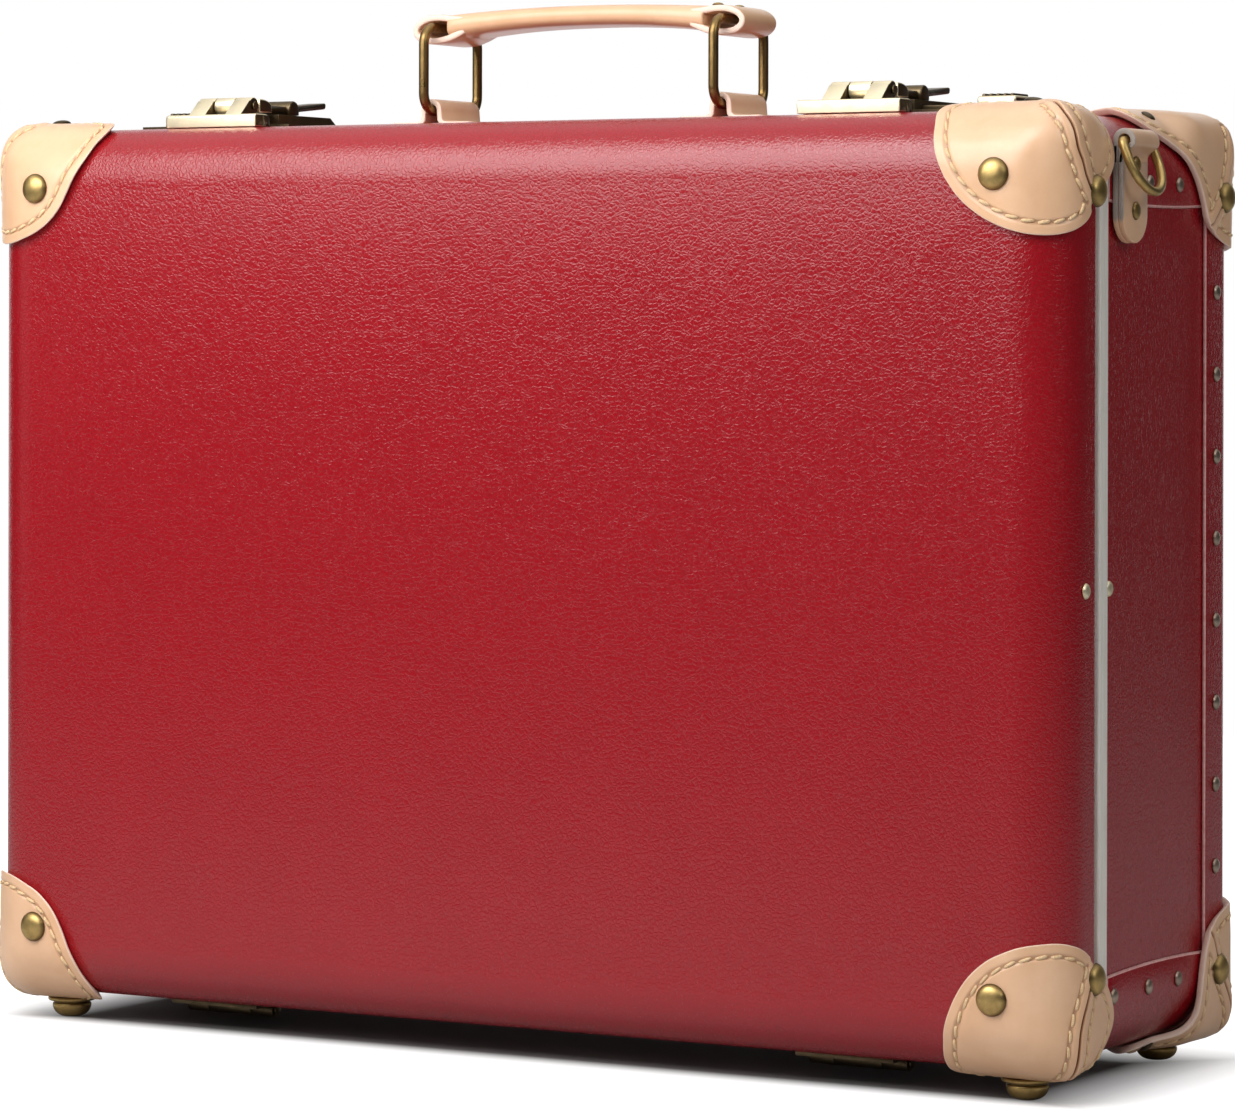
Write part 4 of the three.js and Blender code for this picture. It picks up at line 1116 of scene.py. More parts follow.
FRONT_TOP = Pattern(
    Face.FRONT, Level.TOP,
    (
        (-2.8, 22.6, 33.6), (-2.8, 26.4, 30.8), (-2.8, 31.5, 28.4), (-2.8, 37.5, 24.2),
        (-2.8, 41.6, 18.6),
        (-2.6, 43.3, 12.5), (-0.8, 42.6, 5.6), (4.5, 37.5, 0.2), (12, 32.6, -2.3), (22, 30, -2.8),
        (34, 28.4, -2.8),
        (45, 23.8, -2.8), (52.4, 17, -2.1), (54.5, 9.6, 0.8), (53.2, 3.6, 5.6), (51.6, -0.3, 12),
        (49.2, -2.5, 19),
        (45.8, -2.8, 25.8), (40.7, -2.8, 32.4), (34.2, -2.8, 37.9), (26.7, -2.8, 42.2),
        (18.3, -2.5, 45.2),
        (10, 0.3, 46.7), (3.1, 5.9, 46.3), (-1, 12.9, 44), (-2.7, 18.4, 41), (-2.8, 20.9, 38.2),
        (-2.8, 20.6, 35.4),
    ),
    ((13.2, 18.4, -1.2), (12.6, 17, 0.3), (7.6, 13.1, 4.9), (3.6, 12.4, 9.9), (0.8, 12.2, 15.2),
    (-1, 13.9, 19.5),
     (-2.1, 16.2, 25.3), (-2.8, 22.6, 33.6)),
    left_draw=0.085,
)
FRONT_BOTTOM = Pattern(
    Face.FRONT, Level.BOTTOM,
    (
        (-2.8, 23.8, 40.2), (-2.8, 27.4, 37.8), (-2.8, 32.4, 34.6), (-2.8, 37.6, 29.8),
        (-2.8, 41.3, 23.8),
        (-2.8, 42.9, 17), (-2.4, 41, 9.5), (-0.4, 36.6, 4.2), (5, 33.8, -0.6), (12, 32.4, -2.6),
        (22, 30.4, -2.8),
        (33, 27, -2.8), (42.6, 21.8, -2.6), (48.4, 14.4, -1.2), (49, 6.4, 3.4), (47.8, 0.3, 10),
        (45.3, -2.6, 18.9),
        (41.6, -2.8, 27.5), (36, -2.8, 35.7), (28.2, -2.8, 42.4), (18.6, -2.6, 46.9), (8.7, 1.1, 49),
        (0.8, 9.1, 48.7),
        (-2.1, 16, 46.4), (-2.8, 20.6, 43.6), (-2.8, 21.8, 41.4),
    ),
    ((10.4, 21.2, 0.6), (8.6, 19.6, 2.2), (3.1, 15.4, 8.7), (0, 14, 15.6), (-1.6, 15, 21.1),
    (-2.3, 17.2, 26.4),
     (-2.7, 19.6, 32), (-2.8, 23.8, 40.2)),
    left_draw=0.04,
)
BACK_TOP = Pattern(
    Face.BACK, Level.TOP,
    (
        (-3.4, 26, 41), (-3.4, 28, 38.4), (-3.4, 30.4, 32.6), (-3.4, 36, 24.4), (-3.4, 44.4, 16.6),
        (-3.4, 53, 10.8),
        (-2.6, 62, 6.6), (0.6, 70.5, 2.6), (5.5, 75, -1), (12, 74.5, -3), (20, 68, -3.4),
        (30, 56.5, -3.4),
        (40, 42, -3.4), (48, 27, -3.4), (52, 12, -3.4), (52.6, 2, -2), (52, -3.2, 4), (49.8, -3.4, 15),
        (45, -3.4, 27), (36.6, -3.4, 37), (26, -3.4, 43.6), (15, -3.2, 47.4), (5.5, -2, 49.4),
        (-1, 0.6, 49.6),
        (-3.3, 6, 49), (-3.4, 14, 47), (-3.4, 20, 44.6), (-3.4, 23.8, 42.6),
    ),
    ((3, 3, 3), (-1.6, 5, 8), (-3.4, 9, 19), (-3.4, 14, 29.5), (-3.4, 26, 41)),
    4.6,
    4.6,
)
BACK_BOTTOM = Pattern(
    Face.BACK, Level.BOTTOM,
    (
        (-3.4, 24.4, 41.4), (-3.4, 26, 38.4), (-3.4, 28.4, 33), (-3.4, 30.4, 27), (-3.4, 32.2, 20),
        (-3.4, 34, 13),
        (-2.8, 37, 7), (-0.4, 42, 1.8), (3.6, 49.5, -1.6), (8.6, 57, -3), (13.4, 61.6, -3.4),
        (19, 60, -3.4),
        (27, 51.4, -3.4), (36, 39, -3.4),
        (43.6, 26, -3.4), (47.4, 12, -3.4), (48, 2, -2), (47.6, -3.2, 4), (46, -3.4, 15),
        (42, -3.4, 27.4),
        (34.6, -3.4, 37.4), (25, -3.4, 44.6), (15, -3.2, 49), (5.5, -2, 51), (-1, 0.6, 51),
        (-3.3, 6, 50.2),
        (-3.4, 14, 47.6), (-3.4, 19.4, 45), (-3.4, 22.6, 43),
    ),
    ((3, 3, 3), (-1.6, 5, 8), (-3.4, 9, 15), (-3.4, 17, 26), (-3.4, 24.4, 41.4)),
    4.6,
    4.6,
)


@dataclass
class Guard:
    """One leather corner guard, drawn on the skin of the case round its vertex."""

    case: Case
    finishes: Finishes
    pattern: Pattern
    side: Side
    thickness: float = 2.5
    front_gap: float = 0.3
    back_gap: float = 0.9
    edge_round: float = 0.9
    stitch_inset: float = 5.0
    stitch_pitch: float = 5.9
    stitch_length: float = 5.1
    thread: float = 0.72
    seam_rise: float = 1.0
    seam_width: float = 5.4
    groove: float = 1.5
    groove_half: float = 0.62
    stitch_channel: float = 0.5
    channel_half: float = 0.95
    channel_shade: float = 0.5
    vertex_fullness: float = 0.3
    squareness: float = 1.7
    square_to: float = 28.0
    round_from: float = 50.0
    spokes: int = 264
    inner_rows: int = 30
    edge_rows: int = 26
    far: float = 140.0
    halvings: int = 34

    @property
    def gap(self) -> float:
        """How far the guard's underside stands off the case."""
        return self.front_gap if self.pattern.face is Face.FRONT else self.back_gap

    def inside(self, points: Array) -> Array:
        """Distance of points (p, e, q) inside the case's skin, negative outside it.

        In the corner of side and top the distance is i = r - |(r - p, r - q)|, and otherwise the
        lesser of p and q. The same is done with i and e at the rounded edge. Stiff leather stands
        squarer than the case near the vertex: there the norm's power is 2 + squareness.
        """
        case = self.case
        edge = case.lid_edge_radius if self.pattern.face is Face.FRONT else case.back_edge_radius
        p, e, q = np.moveaxis(points, -1, 0)
        r = case.corner_radius
        near = np.clip((self.round_from - e) / (self.round_from - self.square_to), 0, 1)
        power = 2 + self.squareness * near**2 * (3 - 2 * near)
        in_p, in_q = np.maximum(r - p, 0), np.maximum(r - q, 0)
        norm = (in_p**power + in_q**power + 1e-9) ** (1 / power)
        i = np.where((p < r) & (q < r), r - norm, np.minimum(p, q))
        rounded = (i < edge) & (e < edge)
        return np.where(rounded, edge - np.hypot(edge - i, edge - e), np.minimum(i, e))

    def on_skin(self, ways: Array, lift: float | Array) -> Array:
        """Where rays from the corner's centre meet the skin raised by lift, by bisection.

        Args:
            ways: Unit directions from the centre.
            lift: How far the surface stands off the case's skin.

        Returns:
            Points (p, e, q).
        """
        low, high = np.zeros(ways.shape[:-1]), np.full(ways.shape[:-1], self.far)
        for _ in range(self.halvings):
            middle = (low + high) / 2
            out = self.inside(self.centre + ways * middle[..., None]) < -np.asarray(lift)
            low, high = np.where(out, low, middle), np.where(out, middle, high)
        return self.centre + ways * ((low + high) / 2)[..., None]

    @property
    def centre(self) -> Array:
        """The point inside the corner from which the guard is seen whole."""
        case = self.case
        return np.array([case.corner_radius, case.lid_edge_radius, case.corner_radius])

    def ways(self, points: Array) -> Array:
        """Unit directions from the corner's centre."""
        ways = np.asarray(points, float) - self.centre
        return ways / np.linalg.norm(ways, axis=-1, keepdims=True)

    def outward(self, points: Array) -> Array:
        """Unit normals of the skin, from differences of the distance over a tenth of a millimetre."""
        step = 0.1
        steps = step * np.eye(3)
        rises = [self.inside(points + move) - self.inside(points - move) for move in steps]
        slope = np.stack(rises, axis=-1)
        return -slope / np.maximum(np.linalg.norm(slope, axis=-1, keepdims=True), 1e-9)

    @staticmethod
    def distance(points: Array, line: Array, closed: bool) -> Array:
        """Least distance from each point to a fine line of points, taken as joined pieces."""
        a = line
        b = np.roll(line, -1, axis=0) if closed else line[1:]
        a = a if closed else line[:-1]
        flat = points.reshape(-1, 3)
        best = np.full(len(flat), np.inf)
        for part in np.array_split(np.arange(len(a)), max(1, len(a) // 60)):
            along = b[part] - a[part]
            off = flat[:, None] - a[part][None]
            t = np.clip((off * along).sum(-1) / np.maximum((along**2).sum(-1), 1e-12), 0, 1)
            best = np.minimum(best, np.linalg.norm(off - t[..., None] * along, axis=-1).min(axis=1))
        return best.reshape(points.shape[:-1])

    def beside_seam(self, seam: Array, outline: Array) -> list[Array]:
        """The two stitching lines beside the seam, clear of its start and of the cut edge."""
        tangent = np.gradient(seam, axis=0)
        tangent /= np.linalg.norm(tangent, axis=1, keepdims=True)
        across = np.cross(self.outward(seam), tangent)
        lines = []
        for offset in (self.pattern.seam_left, -self.pattern.seam_right):
            moved = self.on_skin(self.ways(seam + across * offset), self.gap + self.thickness)
            lines.append(moved[self.distance(moved, outline, True) > 3.2][6:])
        return lines

    def lifted(
        self, surface: Array, outline: Array, seam: Array, beside: list[Array]
    ) -> tuple[Array, Array]:
        """How far the leather stands above its tight place, and its tint.

        The edge is rounded over and the stitching presses a channel in. Along the seam the two pieces
        stand up to a thin groove, rise (1 - (s / width)^2)^1.2 - groove exp(-(s / half)^4), and they
        stand full round the seam's start: fullness exp(-(distance / 13)^2).

        Args:
            surface: Points on the tight surface.
            outline: The cut edge.
            seam: The seam.
            beside: The stitching lines beside the seam.

        Returns:
            The lift, and the tint: 1 on the grain, 0 on the cut rim, up to 2 in channels and grooves, where
                the tint paints shade.
        """
        edge = self.distance(surface, outline, True)
        seam_off = self.distance(surface, seam, False)
        r = self.edge_round
        over = np.where(edge < r, r - np.sqrt(np.maximum(r**2 - (r - edge) ** 2, 0)), 0)
        from_stitches = np.minimum.reduce([self.distance(surface, line, False) for line in beside])
        border = np.where(seam_off > self.pattern.seam_left - 1, np.abs(edge - self.stitch_inset), 9.0)
        from_stitches = np.minimum(from_stitches, border)
        channel = np.exp(-((from_stitches / self.channel_half) ** 4))
        pillow = 0.3 * np.clip(edge / 12, 0, 1)
        start = np.linalg.norm(surface - seam[0], axis=-1)
        fade = np.clip(start / 4, 0, 1) * np.clip((edge + 0.6) / 3, 0, 1)
        rise = self.seam_rise * np.clip(1 - (seam_off / self.seam_width) ** 2, 0, 1) ** 1.2
        gap = np.exp(-((seam_off / self.groove_half) ** 4)) * np.clip(edge, 0, 1)
        full = self.vertex_fullness * np.exp(-((start / 13) ** 2))
        lift = pillow + full - over - self.stitch_channel * channel
        lift = lift + fade * (rise - self.groove * gap)
        # Painted shade: the tint rises in the stitch channels and the seam's groove, which the material turns
        # dark.
        tint = np.clip((edge - 0.1) / 1.1, 0, 1) + self.channel_shade * channel + fade * 1.4 * gap
        return lift, np.clip(tint, 0, 2)

    def rows(self) -> tuple[Array, Array, Array]:
        """Directions of the grid, row 0 on the outline and the last row at the pole.

        Each spoke runs on the sphere of directions from the pole to its point of the outline. Near
        the notch the spokes are bent by exp(-(distance / 26)^2) times the seam's own bend, so that
        a line of the grid lies along the seam.

        Returns:
            Directions (rows, spokes, 3), the outline on the skin and the seam on the skin.
        """
        outer = self.gap + self.thickness
        corners = np.array(self.pattern.outline)
        if self.side is Side.LEFT:
            corners[:, 0] *= 1 - self.pattern.left_draw * np.exp(-(((corners[:, 2] - 24) / 16) ** 2))
        fine = curve_through(corners, 900, True)
        line = self.on_skin(self.ways(fine), outer)
        seam_line = curve_through(np.array(self.pattern.seam), 120, False)
        seam = self.on_skin(self.ways(seam_line), outer)
        step = np.linalg.norm(np.roll(line, -1, axis=0) - line, axis=1)
        length = np.concatenate([[0], np.cumsum(step)])
        total = length[-1]
        off = np.minimum(length, total - length)
        density = 1 + 2.6 * np.exp(-((off / 7) ** 2))
        weight = np.concatenate([[0], np.cumsum((density[1:] + density[:-1]) / 2 * step)])
        at = np.interp(np.arange(self.spokes) / self.spokes * weight[-1], weight, length)
        closed_line = np.concatenate([line, line[:1]])
        ends = self.ways(np.stack([np.interp(at, length, closed_line[:, k]) for k in range(3)], axis=-1))
        away = np.minimum(at, total - at)
        pole = self.ways(seam[0])
        t = np.linspace(0, 1, 81)[:, None, None]
        straight = pole * (1 - t) + ends[None] * t
        straight /= np.linalg.norm(straight, axis=-1, keepdims=True)
        notch = straight[:, 0]
        seam_ways = self.ways(resampled(seam, 81))
        bend = (seam_ways - notch)[:, None] * np.exp(-((away / 26) ** 2))[None, :, None]
        bent = straight + bend
        bent /= np.linalg.norm(bent, axis=-1, keepdims=True)
        points = self.on_skin(bent, outer)
        steps = np.linalg.norm(np.diff(points, axis=0), axis=-1)
        lengths = np.concatenate([np.zeros((1, self.spokes)), np.cumsum(steps, axis=0)])
        near = np.array([0, 0.25, 0.55, 0.9, 1.5, 2.3, 3.2, 3.8, 4.2, 4.6, 5.0, 5.4, 5.8, 6.3, 7.0])
        share = np.linspace(0, 1, self.inner_rows + 1)[1:]
        out = np.empty((len(near) + self.inner_rows, self.spokes, 3))
        for k in range(self.spokes):
            whole = lengths[-1, k]
            reach = np.concatenate([near, near[-1] + (whole - 0.4 - near[-1]) * share])
            goal = whole - reach
            out[:, k] = np.stack([np.interp(goal, lengths[:, k], bent[:, k, m]) for m in range(3)], axis=-1)
        out /= np.linalg.norm(out, axis=-1, keepdims=True)
        return out, line, seam

    def placed(self, points: Array) -> Array:
        """Points (p, e, q) to case space (x, d, h)."""
        case = self.case
        p, e, q = np.moveaxis(points, -1, 0)
        x = self.side.value * (case.width / 2 - p)
        d = e if self.pattern.face is Face.FRONT else case.depth - e
        h = case.height - q if self.pattern.level is Level.TOP else q
        return np.stack([x, d, h], axis=-1)

    def build(self) -> None:
        """Builds the leather and its stitching."""
        ways, outline, seam = self.rows()
        tight = self.on_skin(ways, self.gap + self.thickness)
        beside = self.beside_seam(seam, outline)
        lift, shade = self.lifted(tight, outline, seam, beside)
        edge = self.distance(tight, outline, True)
        outer = self.on_skin(ways, self.gap + self.thickness + lift)
        chosen = np.r_[0, 3, 6, 14, np.arange(18, len(ways), 5)]
        inner = self.on_skin(ways[chosen], self.gap)
        rim = np.stack([inner[0] + (outer[0] - inner[0]) * share for share in (0.35, 0.7)])
        grid = np.concatenate([inner[::-1], rim, outer])
        tint = np.concatenate([np.full((len(chosen) + 2, self.spokes), 0.0), shade])
        shell = tube_shell(self.placed(grid), tint=tint)
        face, level, side = self.pattern.face.value, self.pattern.level.value, self.side.word
        body = "lid" if self.pattern.face is Face.FRONT else "base"
        node = f"guard_{face}_{level}_{side}"
        thing = piece(self.case, node + "_leather", [shell], [self.finishes.natural])
        settle(thing, body, "natural_leather", node)
        stitches = self.stitching(outer, edge, seam, outline, beside)
        thing = piece(self.case, node + "_stitching", [stitches], [self.finishes.thread])
        settle(thing, body, "natural_leather")

    def stitching(
        self, outer: Array, edge: Array, seam: Array, outline: Array, beside: list[Array]
    ) -> Shell:
        """Short slanted stitches round the edge and along both sides of the seam.

        Args:
            outer: The grid of the outer surface.
            edge: Distance of each of its points from the cut edge.
            seam: The seam on the skin.
            outline: The cut edge on the skin.
            beside: The stitching lines beside the seam.

        Returns:
            All stitches as one skin.
        """
        rows = self.edge_rows
        grown = np.maximum.accumulate(edge[:rows], axis=0) + np.arange(rows)[:, None] * 1e-6
        border = np.array(
            [
                [np.interp(self.stitch_inset, grown[:, k], outer[:rows, k, m]) for m in range(3)]
                for k in range(outer.shape[1])
            ]
        )
        clear = self.distance(border, seam, False) > self.pattern.seam_left - 1.0
        start = int(np.argmax(clear))
        border, clear = np.roll(border, -start, axis=0), np.roll(clear, -start)
        border = border[: int(np.argmin(clear)) or len(border)]
        places, along = [], []
        for line in [border, *beside]:
            whole = np.linalg.norm(np.diff(line, axis=0), axis=1).sum()
            count = max(2, round(whole / self.stitch_pitch))
            ends = resampled(line, count + 1)
            places.append((ends[1:] + ends[:-1]) / 2)
            along.append(ends[1:] - ends[:-1])
        place, way = np.concatenate(places), np.concatenate(along)
        near = self.on_skin(self.ways(place), self.gap + self.thickness)
        lift, _ = self.lifted(near, outline, seam, beside)
        place = self.on_skin(self.ways(place), self.gap + self.thickness + lift)
        up = self.turned(self.outward(place))
        return stitches(self.placed(place), self.turned(way), up, self.stitch_length, self.thread)

    def turned(self, ways: Array) -> Array:
        """Directions in (p, e, q) to case space."""
        return self.placed(ways) - self.placed(np.zeros(3))


def stitches(places: Array, along: Array, up: Array, length: float, radius: float) -> Shell:
    """Capsules of thread, pressed into the leather at both ends and slightly slanted.

    Each is a row of rings. At s from -1 to 1 the centre is place + s length / 2 along +
    (0.3 - 0.9 s^4) radius up, and the ring's radius is radius (1 - s^6)^0.5.

    Args:
        places: Middles of the stitches.
        along: Their directions.
        up: The leather's normals.
        length: Length of a stitch.
        radius: Radius of the thread.

    Returns:
        All stitches as one skin.
    """
    up = up / np.linalg.norm(up, axis=1, keepdims=True)
    along = along / np.linalg.norm(along, axis=1, keepdims=True)
    across = np.cross(up, along)
    slant = math.radians(9)
    along = along * math.cos(slant) + across * math.sin(slant)
    across = np.cross(up, along)
    s = np.array([-1.0, -0.86, -0.45, 0.0, 0.45, 0.86, 1.0])
    girth = radius * np.sqrt(1 - s**6 + 1e-9)
    height = radius * (0.3 - 0.9 * s**4)
    angle = np.arange(6) / 6 * TAU
    shift = (s * length / 2)[None, :, None]
    centre = places[:, None] + along[:, None] * shift + up[:, None] * height[None, :, None]
    cos, sin = (wave[None, None, :, None] for wave in (np.cos(angle), np.sin(angle)))
    ring = across[:, None, None] * cos + up[:, None, None] * sin
    grid = centre[:, :, None] + ring * girth[None, :, None, None]
    grid[:, (0, -1)] = grid[:, (0, -1)].mean(axis=2, keepdims=True)
    one = grid_quads(len(s), len(angle), False, True)
    each = len(s) * len(angle)
    quads = (one[None] + (np.arange(len(places)) * each)[:, None, None]).reshape(-1, 4)
    return Shell.weld([(grid.reshape(-1, 3), quads, 0, None)], 1e-4)


# Metal and handle


def shifted(shell: Shell, x: float, d: float, h: float) -> Shell:
    """The skin moved by an offset."""
    return shell.moved(np.column_stack([np.eye(3), [x, d, h]]))


@dataclass
class Fastenings:
    """Rivets, feet, hinges and the small rivets on top of the guards."""

    case: Case
    finishes: Finishes
    rivet_radius: float = 6.0
    rivet_height: float = 3.4
    bevel: float = 0.0004

    def rivets(self) -> None:
        """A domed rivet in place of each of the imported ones."""
        head = dome(self.rivet_radius, self.rivet_height, 48, 12)
        for level in Level:
            for side in Side:
                for kind, body in (("front", "lid"), ("side", "lid"), ("back", "base")):
                    node = f"rivet_{kind}_{level.value}_{side.word}"
                    low, high = self.case.from_box(node)
                    x, d, h = (low + high) / 2
                    if kind == "front":
                        turn = np.array([[1, 0, 0, x], [0, 0, -1, high[1]], [0, 1, 0, h]], float)
                    else:
                        turn = on_side(side, min(abs(low[0]), abs(high[0])), d, h)
                    thing = piece(self.case, f"{node}_dome", [head.moved(turn)], [self.finishes.brass])
                    settle(thing, body, "brass", node)

    def feet(self) -> None:
        """Turned feet: a flange with an eased edge, a neck and a dome with a small flat."""
        for place in Face:
            for side in Side:
                node = f"foot_{place.value}_{side.word}"
                low, high = self.case.from_box(node)
                x, d, _ = (low + high) / 2
                top, floor = high[2], low[2]
                flange = top - 1.6
                neck = flange - 0.9
                angle = np.radians(np.linspace(0, 90, 10))
                dome_r = 2.6 + 5.3 * np.sin(angle)
                dome_h = floor + (neck - floor) * 0.86 * (1 - np.cos(angle))
                radii = np.concatenate([[1.2], dome_r, [7.8, 7.4, 7.3, 9.2, 9.7, 9.7, 9.4]])
                upper = [neck - 0.3, neck, flange - 0.1, flange, flange + 0.4, top - 0.4, top]
                heights = np.concatenate([[floor], dome_h, upper])
                # The tint is darker in the neck and towards the bottom of the dome, lightest on the upper dome
                # and the flange's edge.
                tint = np.concatenate([[0.6], 0.4 + 0.6 * np.sin(angle), [0.8, 0.2, 0.1, 0.7, 1, 0.8, 0.5]])
                shell = shifted(lathe(radii, heights, 40, tint), x, d, 0)
                thing = piece(self.case, f"{node}_turned", [shell], [self.finishes.brass])
                settle(thing, "lid" if place is Face.FRONT else "base", "brass", node)

    def eased(self, node: str, material: bpy.types.Material, body: str) -> None:
        """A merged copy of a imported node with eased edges."""
        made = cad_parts[node].data.copy()
        made.name = node + "_eased"
        merged = bmesh.new()
        merged.from_mesh(made)
        bmesh.ops.remove_doubles(merged, verts=merged.verts, dist=1e-6)
        bmesh.ops.dissolve_limit(
            merged, angle_limit=math.radians(1), verts=merged.verts, edges=merged.edges, delimit={"NORMAL"}
        )
        merged.to_mesh(made)
        merged.free()
        made.materials.clear()
        made.materials.append(material)
        made.polygons.foreach_set("use_smooth", np.ones(len(made.polygons), bool))
        tint = made.attributes.new("tint", "FLOAT", "POINT")
        tint.data.foreach_set("value", np.ones(len(made.vertices)))
        thing = bpy.data.objects.new(node + "_eased", made)
        bpy.context.scene.collection.objects.link(thing)
        ease = thing.modifiers.new("ease", "BEVEL")
        ease.width, ease.segments, ease.limit_method = self.bevel, 2, "ANGLE"
        ease.angle_limit = math.radians(28)
        ease.harden_normals = True
        settle(thing, body, "brass", node)

    def crown_rivets(self) -> None:
        """Small rivets through the flaps that lie over the top and under the bottom of the case."""
        case = self.case
        for level in Level:
            for side in Side:
                for body, face, places, head in (
                    ("lid", Face.FRONT, ((21.0, 23.0),), dome(4.0, 1.7, 28, 7)),
                    ("base", Face.BACK, ((11.0, 52.0), (11.0, 22.0)), dome(3.0, 1.3, 24, 6)),
                ):
                    if level is Level.BOTTOM and body == "lid":
                        continue
                    up = 1.0 if level is Level.TOP else -1.0
                    top = case.height + (3.0 if body == "lid" else 3.6)
                    seat = top if level is Level.TOP else case.height - top
                    shells = []
                    for p, e in places:
                        x = side.value * (case.width / 2 - p)
                        d = e if face is Face.FRONT else case.depth - e
                        rise = 0 if p >= case.corner_radius else case.corner_radius - math.sqrt(
                            case.corner_radius**2 - (case.corner_radius - p) ** 2
                        )
                        lean = math.asin((case.corner_radius - p) / case.corner_radius) if rise else 0.0
                        cos, sin = math.cos(lean), side.value * math.sin(lean)
                        turn = np.array(
                            [[cos, 0, sin, x], [0, 1, 0, d], [-up * sin, 0, up * cos, seat - up * rise * 0.86]]
                        )
                        shells.append(head.moved(turn))
                    name = f"guard_{face.value}_{level.value}_{side.word}_tacks"
                    settle(piece(case, name, shells, [self.finishes.bronze]), body, "brass")

    def build(self) -> None:
        """Builds the rivets and feet, and eases the hinges."""
        self.rivets()
        self.crown_rivets()
        self.feet()
        for side in Side:
            word = side.word
            # Hinges, hasp pins and lock cases take the dark bronze: painted shade, so that they sink into the
            # shade.
            self.eased(f"hinge_lid_leaf_{word}", self.finishes.bronze, "lid")
            for part in ("hinge_base_leaf", "hinge_pin"):
                self.eased(f"{part}_{word}", self.finishes.bronze, "base")
            self.eased(f"hasp_pin_{word}", self.finishes.bronze, "lid")
            self.eased(f"lock_case_{word}", self.finishes.bronze, "base")


